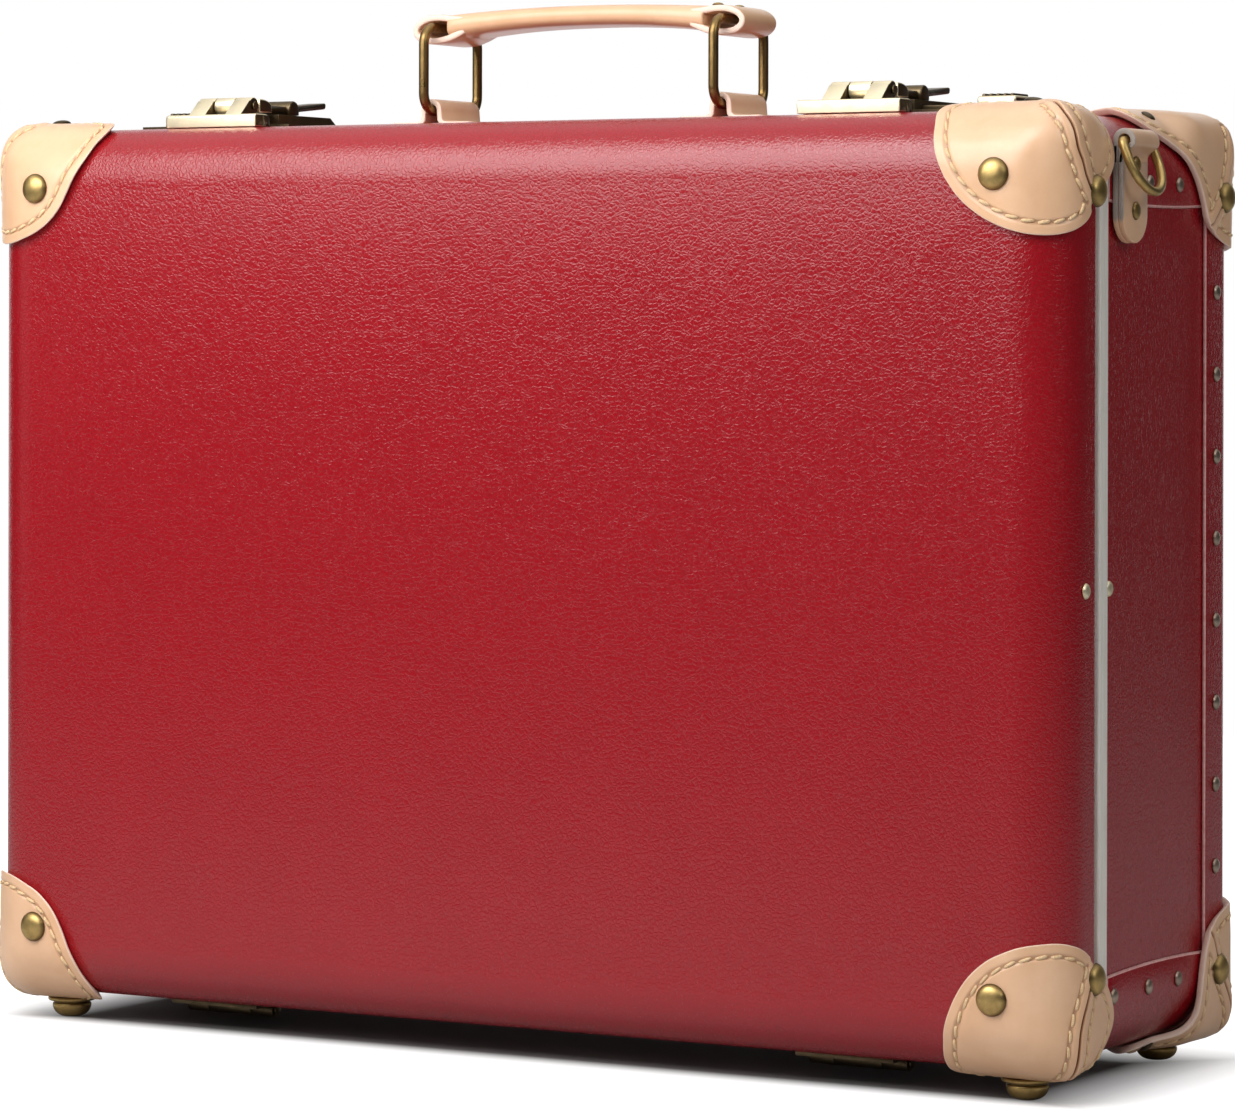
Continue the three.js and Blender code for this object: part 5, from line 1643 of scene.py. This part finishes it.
@dataclass
class Latch:
    """One latch: a bar with outer knuckles on the lid, a hasp, and the thumb slide beside it.

    Sizes are in millimetres about the latch's middle, d behind the front of the lid and h above
    the top of the case. Front and top faces are light gilt, partly the latch's pale metal and partly painted
    light. The ends and the hasp's arm are dark bronze, as painted shade.
    """

    case: Case
    finishes: Finishes
    side: Side
    offset: float = 143.5
    length: float = 43.0
    span: float = 25.0
    middle: float = 9.0
    gap: float = 0.35
    axis: tuple[float, float] = (33.0, 9.1)
    knuckle: float = 3.4
    arm: float = 14.0
    collar: float = 17.0
    tab: float = 9.0
    nib: float = 5.8
    slide_middle: float = 42.0
    slide_width: float = 16.0
    ribs: int = 5
    rib: float = 1.5
    # Slot of the lit faces, painted light, and slot of the shaded ends and arm, painted shade.
    light: int = 0
    dark: int = 1

    def place(self, name: str, shells: list[Shell], body: str, *nodes: str) -> None:
        """Moves skins to the latch and settles them as one piece."""
        moved = [shifted(shell, self.side.value * self.offset, 0, self.case.height) for shell in shells]
        metals = [self.finishes.gilt, self.finishes.bronze]
        settle(piece(self.case, f"{name}_{self.side.word}", moved, metals), body, "brass", *nodes)

    def bar(self) -> None:
        """The bar, and on each side of the middle a knuckle with a sloped front that rises from it."""
        half, end = self.length / 2, self.span / 2
        body = soft_outline([(20.5, 0.3, 0.2), (20.5, 5.4, 1.3), (30, 5.4, 1.7), (30, 0.3, 0.2)], 5)
        shells = [prism(body, -half, half, 0.45, 0, self.light, self.dark)]
        rear = soft_outline([(26.2, 0.25, 0.1), (26.2, 4.9, 0.3), (30.6, 4.9, 1.8), (30.6, 0.25, 0.1)], 5)
        shells.append(prism(rear, -half - 0.25, half + 0.25, 0.3, 0, self.dark))
        front = np.array([(22.6, 4.7), (23.2, 5.3), (29.6, 11.2)])
        round_top = arc(self.axis, self.knuckle, 138, -75, 16)
        outline = np.concatenate([front, round_top, [(31.6, 4.6), (28, 4.2)]])
        inner = self.middle / 2 + self.gap
        for start, stop in ((-end, -inner), (inner, end)):
            shells.append(prism(outline, start, stop, 0.3, 0, self.light, self.dark))
        self.place("latch_bar", shells, "lid", f"lid_bar_{self.side.word}")

    def hasp(self) -> None:
        """The hasp: middle knuckle, plate with a round top, arm, collar, lift tab and nib."""
        half = self.middle / 2
        knuckle = arc(self.axis, self.knuckle, 0, 348, 29)
        neck = soft_outline([(33.4, 6.4, 0.3), (37.6, 6.4, 0.3), (37.6, 12.1, 0.5), (33.4, 12.3, 0.5)], 3)
        top = curve_through([(46.0, 9.4), (44.6, 10.9), (41.6, 11.8), (38.2, 12.1), (37.0, 11.8)], 14, False)
        plate = np.concatenate([[(37.0, 6.7), (46.0, 6.7)], top])
        arm = soft_outline([(45.2, 6.7, 0.4), (67, 6.7, 0.4), (67, 10.1, 0.8), (45.2, 10.1, 0.4)], 3)
        top = curve_through([(71.8, 9.8), (70.6, 11.6), (68.2, 12.5), (65.8, 11.8), (64.6, 9.8)], 12, False)
        collar = np.concatenate([[(64.6, 6.7), (71.8, 6.7)], top])
        tab = soft_outline([(69, 7.6, 0.3), (97.6, 10.4, 1.2), (98, 13.0, 1.2), (69, 10.2, 0.3)], 4)
        nib = soft_outline([(57.1, 2.9, 0.4), (60.9, 2.9, 0.4), (60.9, 7, 0.2), (57.1, 7, 0.2)], 3)
        shells = [
            prism(knuckle, -half, half, 0.3, 0, self.light, self.dark),
            prism(neck, -half + 0.1, half - 0.1, 0.3, 0, self.light, self.dark),
            prism(plate, -self.span / 2, self.span / 2, 0.5, 0, self.light, self.dark),
            prism(arm, -self.arm / 2, self.arm / 2, 0.5, 0, self.dark),
            prism(collar, -self.collar / 2, self.collar / 2, 0.7, 0, self.dark),
            prism(tab, -self.tab / 2, self.tab / 2, 0.7, 0, self.dark),
            prism(nib, -self.nib / 2, self.nib / 2, 0.3, 0, self.dark),
        ]
        word = self.side.word
        self.place("latch_hasp", shells, f"hasp_{word}", f"hasp_{word}")

    def slide(self) -> None:
        """The thumb slide: a low pad with ribs across its travel, and its bolt."""
        way = self.side.value
        low = 2.55
        start, end = sorted(way * (self.slide_middle + k * self.slide_width / 2) for k in (-1, 1))
        pad = soft_outline([(60, low, 0.4), (76, low, 0.4), (76, 7.4, 1.6), (60, 7.4, 1.6)], 5)
        shells = [prism(pad, start, end, 0.9, 0, self.light, self.dark)]
        rib = soft_outline([(61.4, 6.6, 0.2), (74.6, 6.6, 0.2), (74.6, 8.3, 0.6), (61.4, 8.3, 0.6)], 4)
        for k in np.linspace(-1, 1, self.ribs):
            middle = way * self.slide_middle + k * (self.slide_width / 2 - 2.2)
            shells.append(prism(rib, middle - self.rib / 2, middle + self.rib / 2, 0.45, 0, self.dark))
        bolt = soft_outline([(56.6, low, 0.2), (61.4, low, 0.2), (61.4, 4.15, 0.3), (56.6, 4.15, 0.3)], 3)
        near, far = sorted((way * 3.65, way * self.slide_middle))
        shells.append(prism(bolt, near, far, 0.25, 0, self.dark))
        word = self.side.word
        self.place("latch_slide", shells, f"slide_{word}", f"thumb_slide_{word}")

    def build(self) -> None:
        """Builds the latch."""
        self.bar()
        self.hasp()
        self.slide()


@dataclass
class Handle:
    """Wire rings, leather chapes on the case and the padded grip with its end loops."""

    case: Case
    finishes: Finishes
    depth: float = 78.0
    offset: float = 66.0
    span: float = 40.7
    wire: float = 2.0
    bend: float = 7.0
    strap: float = 2.2
    chape_width: float = 30.0
    chape_radius: float = 3.6
    sleeve_half: float = 14.0
    sleeve_round: float = 0.8
    loop_width: float = 26.8
    loop_strap: float = 2.6
    sleeve: tuple[float, float] = (-59.6, 57.4)
    sleeve_top: float = 47.6
    sleeve_under: float = 39.2
    loop: tuple[tuple[float, float], ...] = (
        (52, 43.0), (58, 43.6), (63, 44.2), (68, 43.9), (72, 42.5), (74.3, 40.2), (74.1, 37.8),
        (71.6, 35.8),
        (67, 35.0), (61, 35.4), (56, 37.0), (52, 38.8),
    )

    def loop_path(self, low: float, high: float) -> Array:
        """A rounded rectangle in depth and height, anticlockwise from below."""
        half, r = self.span / 2, self.bend
        a, under, over = half - r, low + r, high - r
        corners = [(a, under, -90), (a, over, 0), (-a, over, 90), (-a, under, 180)]
        flat = np.concatenate([arc((a, b), r, start, start + 90, 10) for a, b, start in corners])
        return np.column_stack([np.zeros(len(flat)), flat[:, 0] + self.depth, flat[:, 1]])

    def ring(self, side: Side) -> None:
        """One wire ring."""
        node = f"handle_ring_{side.word}"
        low, high = self.case.from_box(node)
        path = self.loop_path(low[2] + self.wire, high[2] - self.wire)
        path[:, 0] = side.value * self.offset
        shell = swept(path, round_section(self.wire, 20), np.array([1.0, 0, 0]), True)
        # The rings take the darker brass: painted shade.
        thing = piece(self.case, node + "_wire", [shell], [self.finishes.worn])
        settle(thing, f"ring_{side.word}", "brass", node)

    def chape(self, side: Side) -> None:
        """A strap over the low bar: flange, up round the bar, and the other flange."""
        node = f"handle_chape_{side.word}"
        low, high = self.case.from_box(node)
        r, half = self.chape_radius, self.strap / 2
        top = high[2] - self.case.height - r - half
        flat = low[2] - self.case.height + half
        reach = (high[0] - low[0]) / 2
        right = [(reach, flat), (reach - 3, flat), (r + 4.5, flat + 0.05)]
        right = curve_through(right + [(r + 1.6, flat + 0.5), (r + 0.3, flat + 2.0)], 16, False)
        roll = arc((0, top), r, 0, 180, 14)
        path = np.concatenate([right, roll, (right * [-1, 1])[::-1]])
        centre = side.value * self.offset
        level = np.full(len(path), self.depth)
        points = np.column_stack([path[:, 0] + centre, level, path[:, 1] + self.case.height])
        section = slab_section(self.strap, self.chape_width, 0.7)
        rim = np.clip((self.chape_width / 2 - np.abs(section[:, 1])) / 0.9, 0, 1)
        tint = np.broadcast_to(rim, (len(points), len(rim)))
        shell = swept(points, section, np.array([0, 1.0, 0]), tint=tint)
        thing = piece(self.case, node + "_strap", [shell], [self.finishes.natural])
        settle(thing, "base", "natural_leather", node)

    def grip(self) -> None:
        """The sleeve and the strap that comes out of its ends and turns back round the bars.

        The sleeve's section is a flattened loop: width 14 |cos a|^0.45 and a height that runs from its
        underside to its top, and both deepen along it as s^2, s from 0 in the middle to 1 at its ends.
        """
        base = self.case.height
        left, right = self.sleeve
        reach = (right - left) / 2
        x = np.concatenate([left + np.array([0.0, 0.15, 0.5]), np.linspace(left + 1.2, right - 1.2, 34)])
        x = np.concatenate([x, right - np.array([0.5, 0.15, 0.0])])
        share = np.abs((x - (left + right) / 2) / reach)
        top = self.sleeve_top - 1.9 * share**2
        under = self.sleeve_under - 3.6 * share**2.4
        in_from_end = np.clip(np.minimum(x - left, right - x) / 1.2, 0, 1)
        shrink = self.sleeve_round * (1 - np.sqrt(1 - (1 - in_from_end) ** 2))
        angle = np.arange(40) / 40 * TAU
        c, s = np.cos(angle), np.sin(angle)
        wide = np.sign(c) * np.abs(c) ** 0.45
        tall = np.sign(s) * np.abs(s) ** 0.8
        middle, half = (top + under) / 2, (top - under) / 2
        d = self.depth + wide * (self.sleeve_half - shrink[:, None])
        h = base + middle[:, None] + tall * (half - shrink)[:, None]
        shells = [tube_shell(np.stack([np.broadcast_to(x[:, None], h.shape), d, h], axis=-1))]
        for side in Side:
            line = curve_through(np.array(self.loop), 56, False)
            level = np.full(len(line), self.depth)
            points = np.column_stack([line[:, 0] * side.value, level, line[:, 1] + base])
            section = slab_section(self.loop_strap, self.loop_width, 1.0)
            rim = np.clip((self.loop_width / 2 - np.abs(section[:, 1])) / 0.9, 0, 1)
            tint = np.broadcast_to(rim, (len(points), len(rim)))
            shells.append(swept(points, section, np.array([0, 1.0, 0]), tint=tint))
        thing = piece(self.case, "handle_grip_leather", shells, [self.finishes.natural])
        settle(thing, "grip", "natural_leather", "handle_grip")
        heads = [shifted(dome(2.3, 1.1, 20, 5), 61.5, self.depth + d, base + 45.6) for d in (-8.5, 8.5)]
        settle(piece(self.case, "grip_rivets", heads, [self.finishes.brass]), "grip", "brass")

    def build(self) -> None:
        """Builds the handle."""
        for side in Side:
            self.ring(side)
            self.chape(side)
        self.grip()


@dataclass
class SideTabs:
    """A folded strap and its D ring on each side."""

    case: Case
    finishes: Finishes
    depth: float = 55.0
    width: float = 22.0
    layer: float = 2.2
    gap: float = 0.3
    wire: float = 1.75
    fold: float = 4.6
    fold_drop: float = 6.4
    ring_half: float = 13.0
    ring_corner: float = 2.2
    ring_drop: float = 20.0
    tilt: float = 22.0
    rivet_drops: tuple[float, float] = (19.8, 36.5)

    def outwards(self, side: Side) -> Array:
        """The 3 x 4 matrix from distances out of the right side to case space, mirrored on the left."""
        way = side.value
        return np.array([[way, 0, 0, way * self.case.width / 2], [0, 1, 0, 0], [0, 0, 1, 0]], float)

    def strap(self, side: Side) -> None:
        """Two layers with a round low end, and the fold over the ring's bar."""
        node = f"tab_strap_{side.word}"
        low, high = self.case.from_box(node)
        out = abs(high[0] if side is Side.RIGHT else low[0]) - self.case.width / 2
        r = (out - self.gap) / 2
        bar_h = high[2] - r
        half, end = self.width / 2, low[2]
        upper = [[self.depth + half, bar_h - 2], [self.depth - half, bar_h - 2]]
        outline = np.concatenate([arc((self.depth, end + half), half, 180, 360, 20), upper])
        shells = []
        for start in (self.gap, self.gap + self.layer + 0.06):
            shells.append(prism(outline, start, start + self.layer, 0.55))
        centre = self.gap + r
        inner = self.gap + self.layer / 2
        outer = self.gap + self.layer * 1.5
        path = np.array([(outer, bar_h - 8), (outer + 0.6, bar_h - 4.5)])
        roll = arc((centre, bar_h), r - self.layer / 2, -20, 200, 18)
        path = np.concatenate([path, roll, [(inner, bar_h - 4.5), (inner, bar_h - 8)]])
        line = curve_through(path, 44, False)
        points = np.column_stack([line[:, 0], np.full(len(line), self.depth), line[:, 1]])
        section = slab_section(self.layer, self.width, 0.6)
        shells.append(swept(points, section, np.array([0, 1.0, 0])))
        for shell in shells:
            shell.tint = np.clip((half - np.abs(shell.points[:, 1] - self.depth)) / 0.8, 0, 1)
        turn = self.outwards(side)
        thing = piece(self.case, node + "_leather", [s.moved(turn) for s in shells], [self.finishes.tab])
        settle(thing, "base", "natural_leather", node)
        heads = []
        for drop in self.rivet_drops:
            head = dome(3.4, 1.5, 28, 7)
            place = self.gap + 2 * self.layer + 0.05
            lay = on_side(Side.RIGHT, place, self.depth, self.case.height - drop)
            heads.append(head.moved(lay).moved(turn))
        settle(piece(self.case, f"tab_rivets_{side.word}", heads, [self.finishes.brass]), "base", "brass")

    def ring(self, side: Side) -> None:
        """The D ring: a straight bar and a round bow, tilted out by its own weight on the tab."""
        node = f"tab_d_ring_{side.word}"
        r, half, corner = self.fold, self.ring_half, self.ring_corner
        bar = np.array([self.gap + r, self.depth, self.case.height - self.fold_drop - r])
        bow = self.ring_drop - half
        right = arc((half - corner, -corner), corner, 90, 0, 6)
        left = arc((corner - half, -corner), corner, 180, 90, 6)
        round_bow = arc((0, -bow), half, 0, -180, 28)
        flat = np.concatenate([right, [[half, -bow]], round_bow, [[-half, -bow]], left])
        tilt = math.radians(self.tilt)
        across, down = flat.T
        points = bar + np.stack([-down * math.sin(tilt), across, down * math.cos(tilt)], axis=-1)
        up = np.array([math.cos(tilt), 0, math.sin(tilt)])
        path = resampled(points, 90, True)
        shell = swept(path, round_section(self.wire, 16), up, True)
        thing = piece(self.case, node + "_wire", [shell.moved(self.outwards(side))], [self.finishes.brass])
        settle(thing, f"d_ring_{side.word}", "brass", node)

    def build(self) -> None:
        """Builds both tabs."""
        for side in Side:
            self.strap(side)
            self.ring(side)


# Stage


@dataclass
class Stage:
    """Camera, lamps, white surroundings and the floor."""

    image_width: int = 1235
    image_height: int = 1109
    focal_pixels: float = 4939.0
    yaw: float = 29.996
    roll: float = 0.125
    shift_down: float = 222.3
    eye: tuple[float, float, float] = (0.987, -1.6866, 0.2798)
    foot_half_width: float = 0.24
    foot_half_depth: float = 0.08
    floor_half: float = 1.5
    backdrop: tuple[float, float] = (0.74, 0.9)
    overhead: tuple[float, float] = (0.45, 0.8)
    soft: tuple[float, float] = (0.24, 0.04)

    @property
    def ahead(self) -> tuple[float, float]:
        """The level direction in which the camera looks."""
        return -math.sin(math.radians(self.yaw)), math.cos(math.radians(self.yaw))

    def camera(self) -> None:
        """The camera as fitted to the photograph: its columns are right, up and backwards."""
        roll = math.radians(self.roll)
        ahead = np.array([*self.ahead, 0])
        right = np.array([ahead[1], -ahead[0], 0])
        up = np.cross(right, ahead)
        turned_right = math.cos(roll) * right + math.sin(roll) * up
        turned_up = -math.sin(roll) * right + math.cos(roll) * up
        turn = np.eye(4)
        turn[:3, :4] = np.column_stack([turned_right, turned_up, -ahead, self.eye])
        data = bpy.data.cameras.new("camera")
        data.sensor_width = 36.0
        data.sensor_fit = "HORIZONTAL"
        data.lens = data.sensor_width * self.focal_pixels / self.image_width
        data.shift_y = -self.shift_down / self.image_width
        data.clip_start, data.clip_end = 0.05, 60.0
        camera = bpy.data.objects.new("camera", data)
        camera.matrix_world = Matrix(turn.tolist())
        bpy.context.scene.collection.objects.link(camera)
        bpy.context.scene.camera = camera

    def lamp(
        self,
        name: str,
        place: tuple[float, float, float],
        size: tuple[float, float],
        power: float,
        aim: tuple[float, float, float] = (0.0, 0.0, 0.18),
    ) -> None:
        """An area lamp aimed at a point, by default the middle of the case."""
        data = bpy.data.lights.new(name, "AREA")
        data.shape, data.energy = "RECTANGLE", power
        data.size, data.size_y = size
        lamp = bpy.data.objects.new(name, data)
        lamp.location = place
        way = Vector(aim) - Vector(place)
        lamp.rotation_euler = way.to_track_quat("-Z", "Y").to_euler()
        bpy.context.scene.collection.objects.link(lamp)

    def world(self) -> None:
        """White to the camera and to glass, white behind the case to gloss, and soft grey for the rest."""
        world = bpy.data.worlds.new("studio")
        world.use_nodes = True
        g = Nodes(world.node_tree)
        overhead = g.ramp(g.node("SeparateXYZ", "Z", None, Vector=g.place), *self.overhead, smooth=True)
        backdrop = g.ramp(g.facing(g.place, self.ahead), *self.backdrop, smooth=True)
        glossy = g.tree.nodes.new("ShaderNodeLightPath").outputs["Is Glossy Ray"]
        dim = g.ramp(glossy, 0.0, 1.0, *self.soft)
        soft = g.node("Background", 0, None, Color=(1, 1, 1, 1), Strength=dim)
        white = g.node("Background", 0, None, Color=(1, 1, 1, 1), Strength=1.0)
        mix = g.tree.nodes.new("ShaderNodeMixShader")
        shown = g.shown(g.maths("MAXIMUM", backdrop, overhead))
        for socket, value in zip(mix.inputs, (shown, soft, white)):
            g.put(socket, value)
        output = g.tree.nodes.new("ShaderNodeOutputWorld")
        g.put(output.inputs[0], mix.outputs[0])
        bpy.context.scene.world = world

    def floor(self) -> None:
        """A white floor that keeps the shadow: it gives camera rays a little light of its own. Under the case
        its colour is painted dark grey and its glow is held back round the case: a painted shadow.
        """
        mesh = bpy.data.meshes.new("floor")
        size = self.floor_half
        corners = [(-size, -size, 0), (size, -size, 0), (size, size, 0), (-size, size, 0)]
        mesh.from_pydata(corners, [], [(0, 1, 2, 3)])
        g = Graph("white_floor")
        split = g.node("SeparateXYZ", 0, None, Vector=g.place).node
        from_side = g.maths("SUBTRACT", g.maths("ABSOLUTE", split.outputs[0]), self.foot_half_width)
        from_face = g.maths("SUBTRACT", g.maths("ABSOLUTE", split.outputs[1]), self.foot_half_depth)
        before = g.maths("SUBTRACT", g.maths("MULTIPLY", split.outputs[1], -1.0), self.foot_half_depth)
        away = g.maths("MAXIMUM", from_side, from_face)
        speck = g.ramp(g.noise(3.0, 2.0), 0.3, 0.7)
        white = g.blend(speck, (0.58, 0.58, 0.58, 1), (0.6, 0.6, 0.6, 1))
        # Painted shadow: under the case the floor's colour is dark grey.
        colour = g.blend(g.ramp(away, -0.012, 0.004), (0.3, 0.29, 0.29, 1), white)
        # Painted shadow: the glow is withheld under the case and just round it.
        light = g.maths("MAXIMUM", g.ramp(away, -0.03, 0.035), g.ramp(before, -0.03, -0.01))
        facing = g.facing(g.vectors("NORMALIZE", g.place), self.ahead)
        glow = g.maths("MULTIPLY", g.shown(g.ramp(facing, *self.backdrop)), light)
        mesh.materials.append(
            g.finish(Base_Color=colour, Roughness=0.8, Emission_Color=(1, 1, 1, 1), Emission_Strength=glow)
        )
        floor = bpy.data.objects.new("floor", mesh)
        bpy.context.scene.collection.objects.link(floor)

    def build(self) -> None:
        """Sets the view up."""
        scene = bpy.context.scene
        scene.view_settings.view_transform = "Standard"
        self.camera()
        self.world()
        self.floor()
        self.lamp("top", (-0.24, -0.66, 0.73), (1.0, 0.62), 9.2, (-0.24, 0.0, 0.34))
        self.lamp("left", (-1.35, -0.75, 0.5), (0.5, 0.7), 0.6)
        self.lamp("front", (0.05, -1.2, 1.5), (1.2, 0.6), 5.6)
        self.lamp("over", (0.1, 0.1, 1.9), (1.4, 0.9), 2.0)
        self.lamp("right", (1.7, -0.5, 1.3), (0.8, 0.8), 5.6)


def main() -> None:
    """Builds the camera and stage, then each sub-assembly in order."""
    logging.basicConfig(level=logging.INFO, format="%(name)s: %(message)s")
    case = Case.from_frame()
    finishes = Finishes()
    Stage().build()
    Shells(case, finishes).build()
    Covers(case, finishes).build()
    for pattern in (FRONT_TOP, FRONT_BOTTOM, BACK_TOP, BACK_BOTTOM):
        for side in Side:
            Guard(case, finishes, pattern, side).build()
    Fastenings(case, finishes).build()
    for side in Side:
        Latch(case, finishes, side).build()
    Handle(case, finishes).build()
    SideTabs(case, finishes).build()


if __name__ == "__main__":
    main()
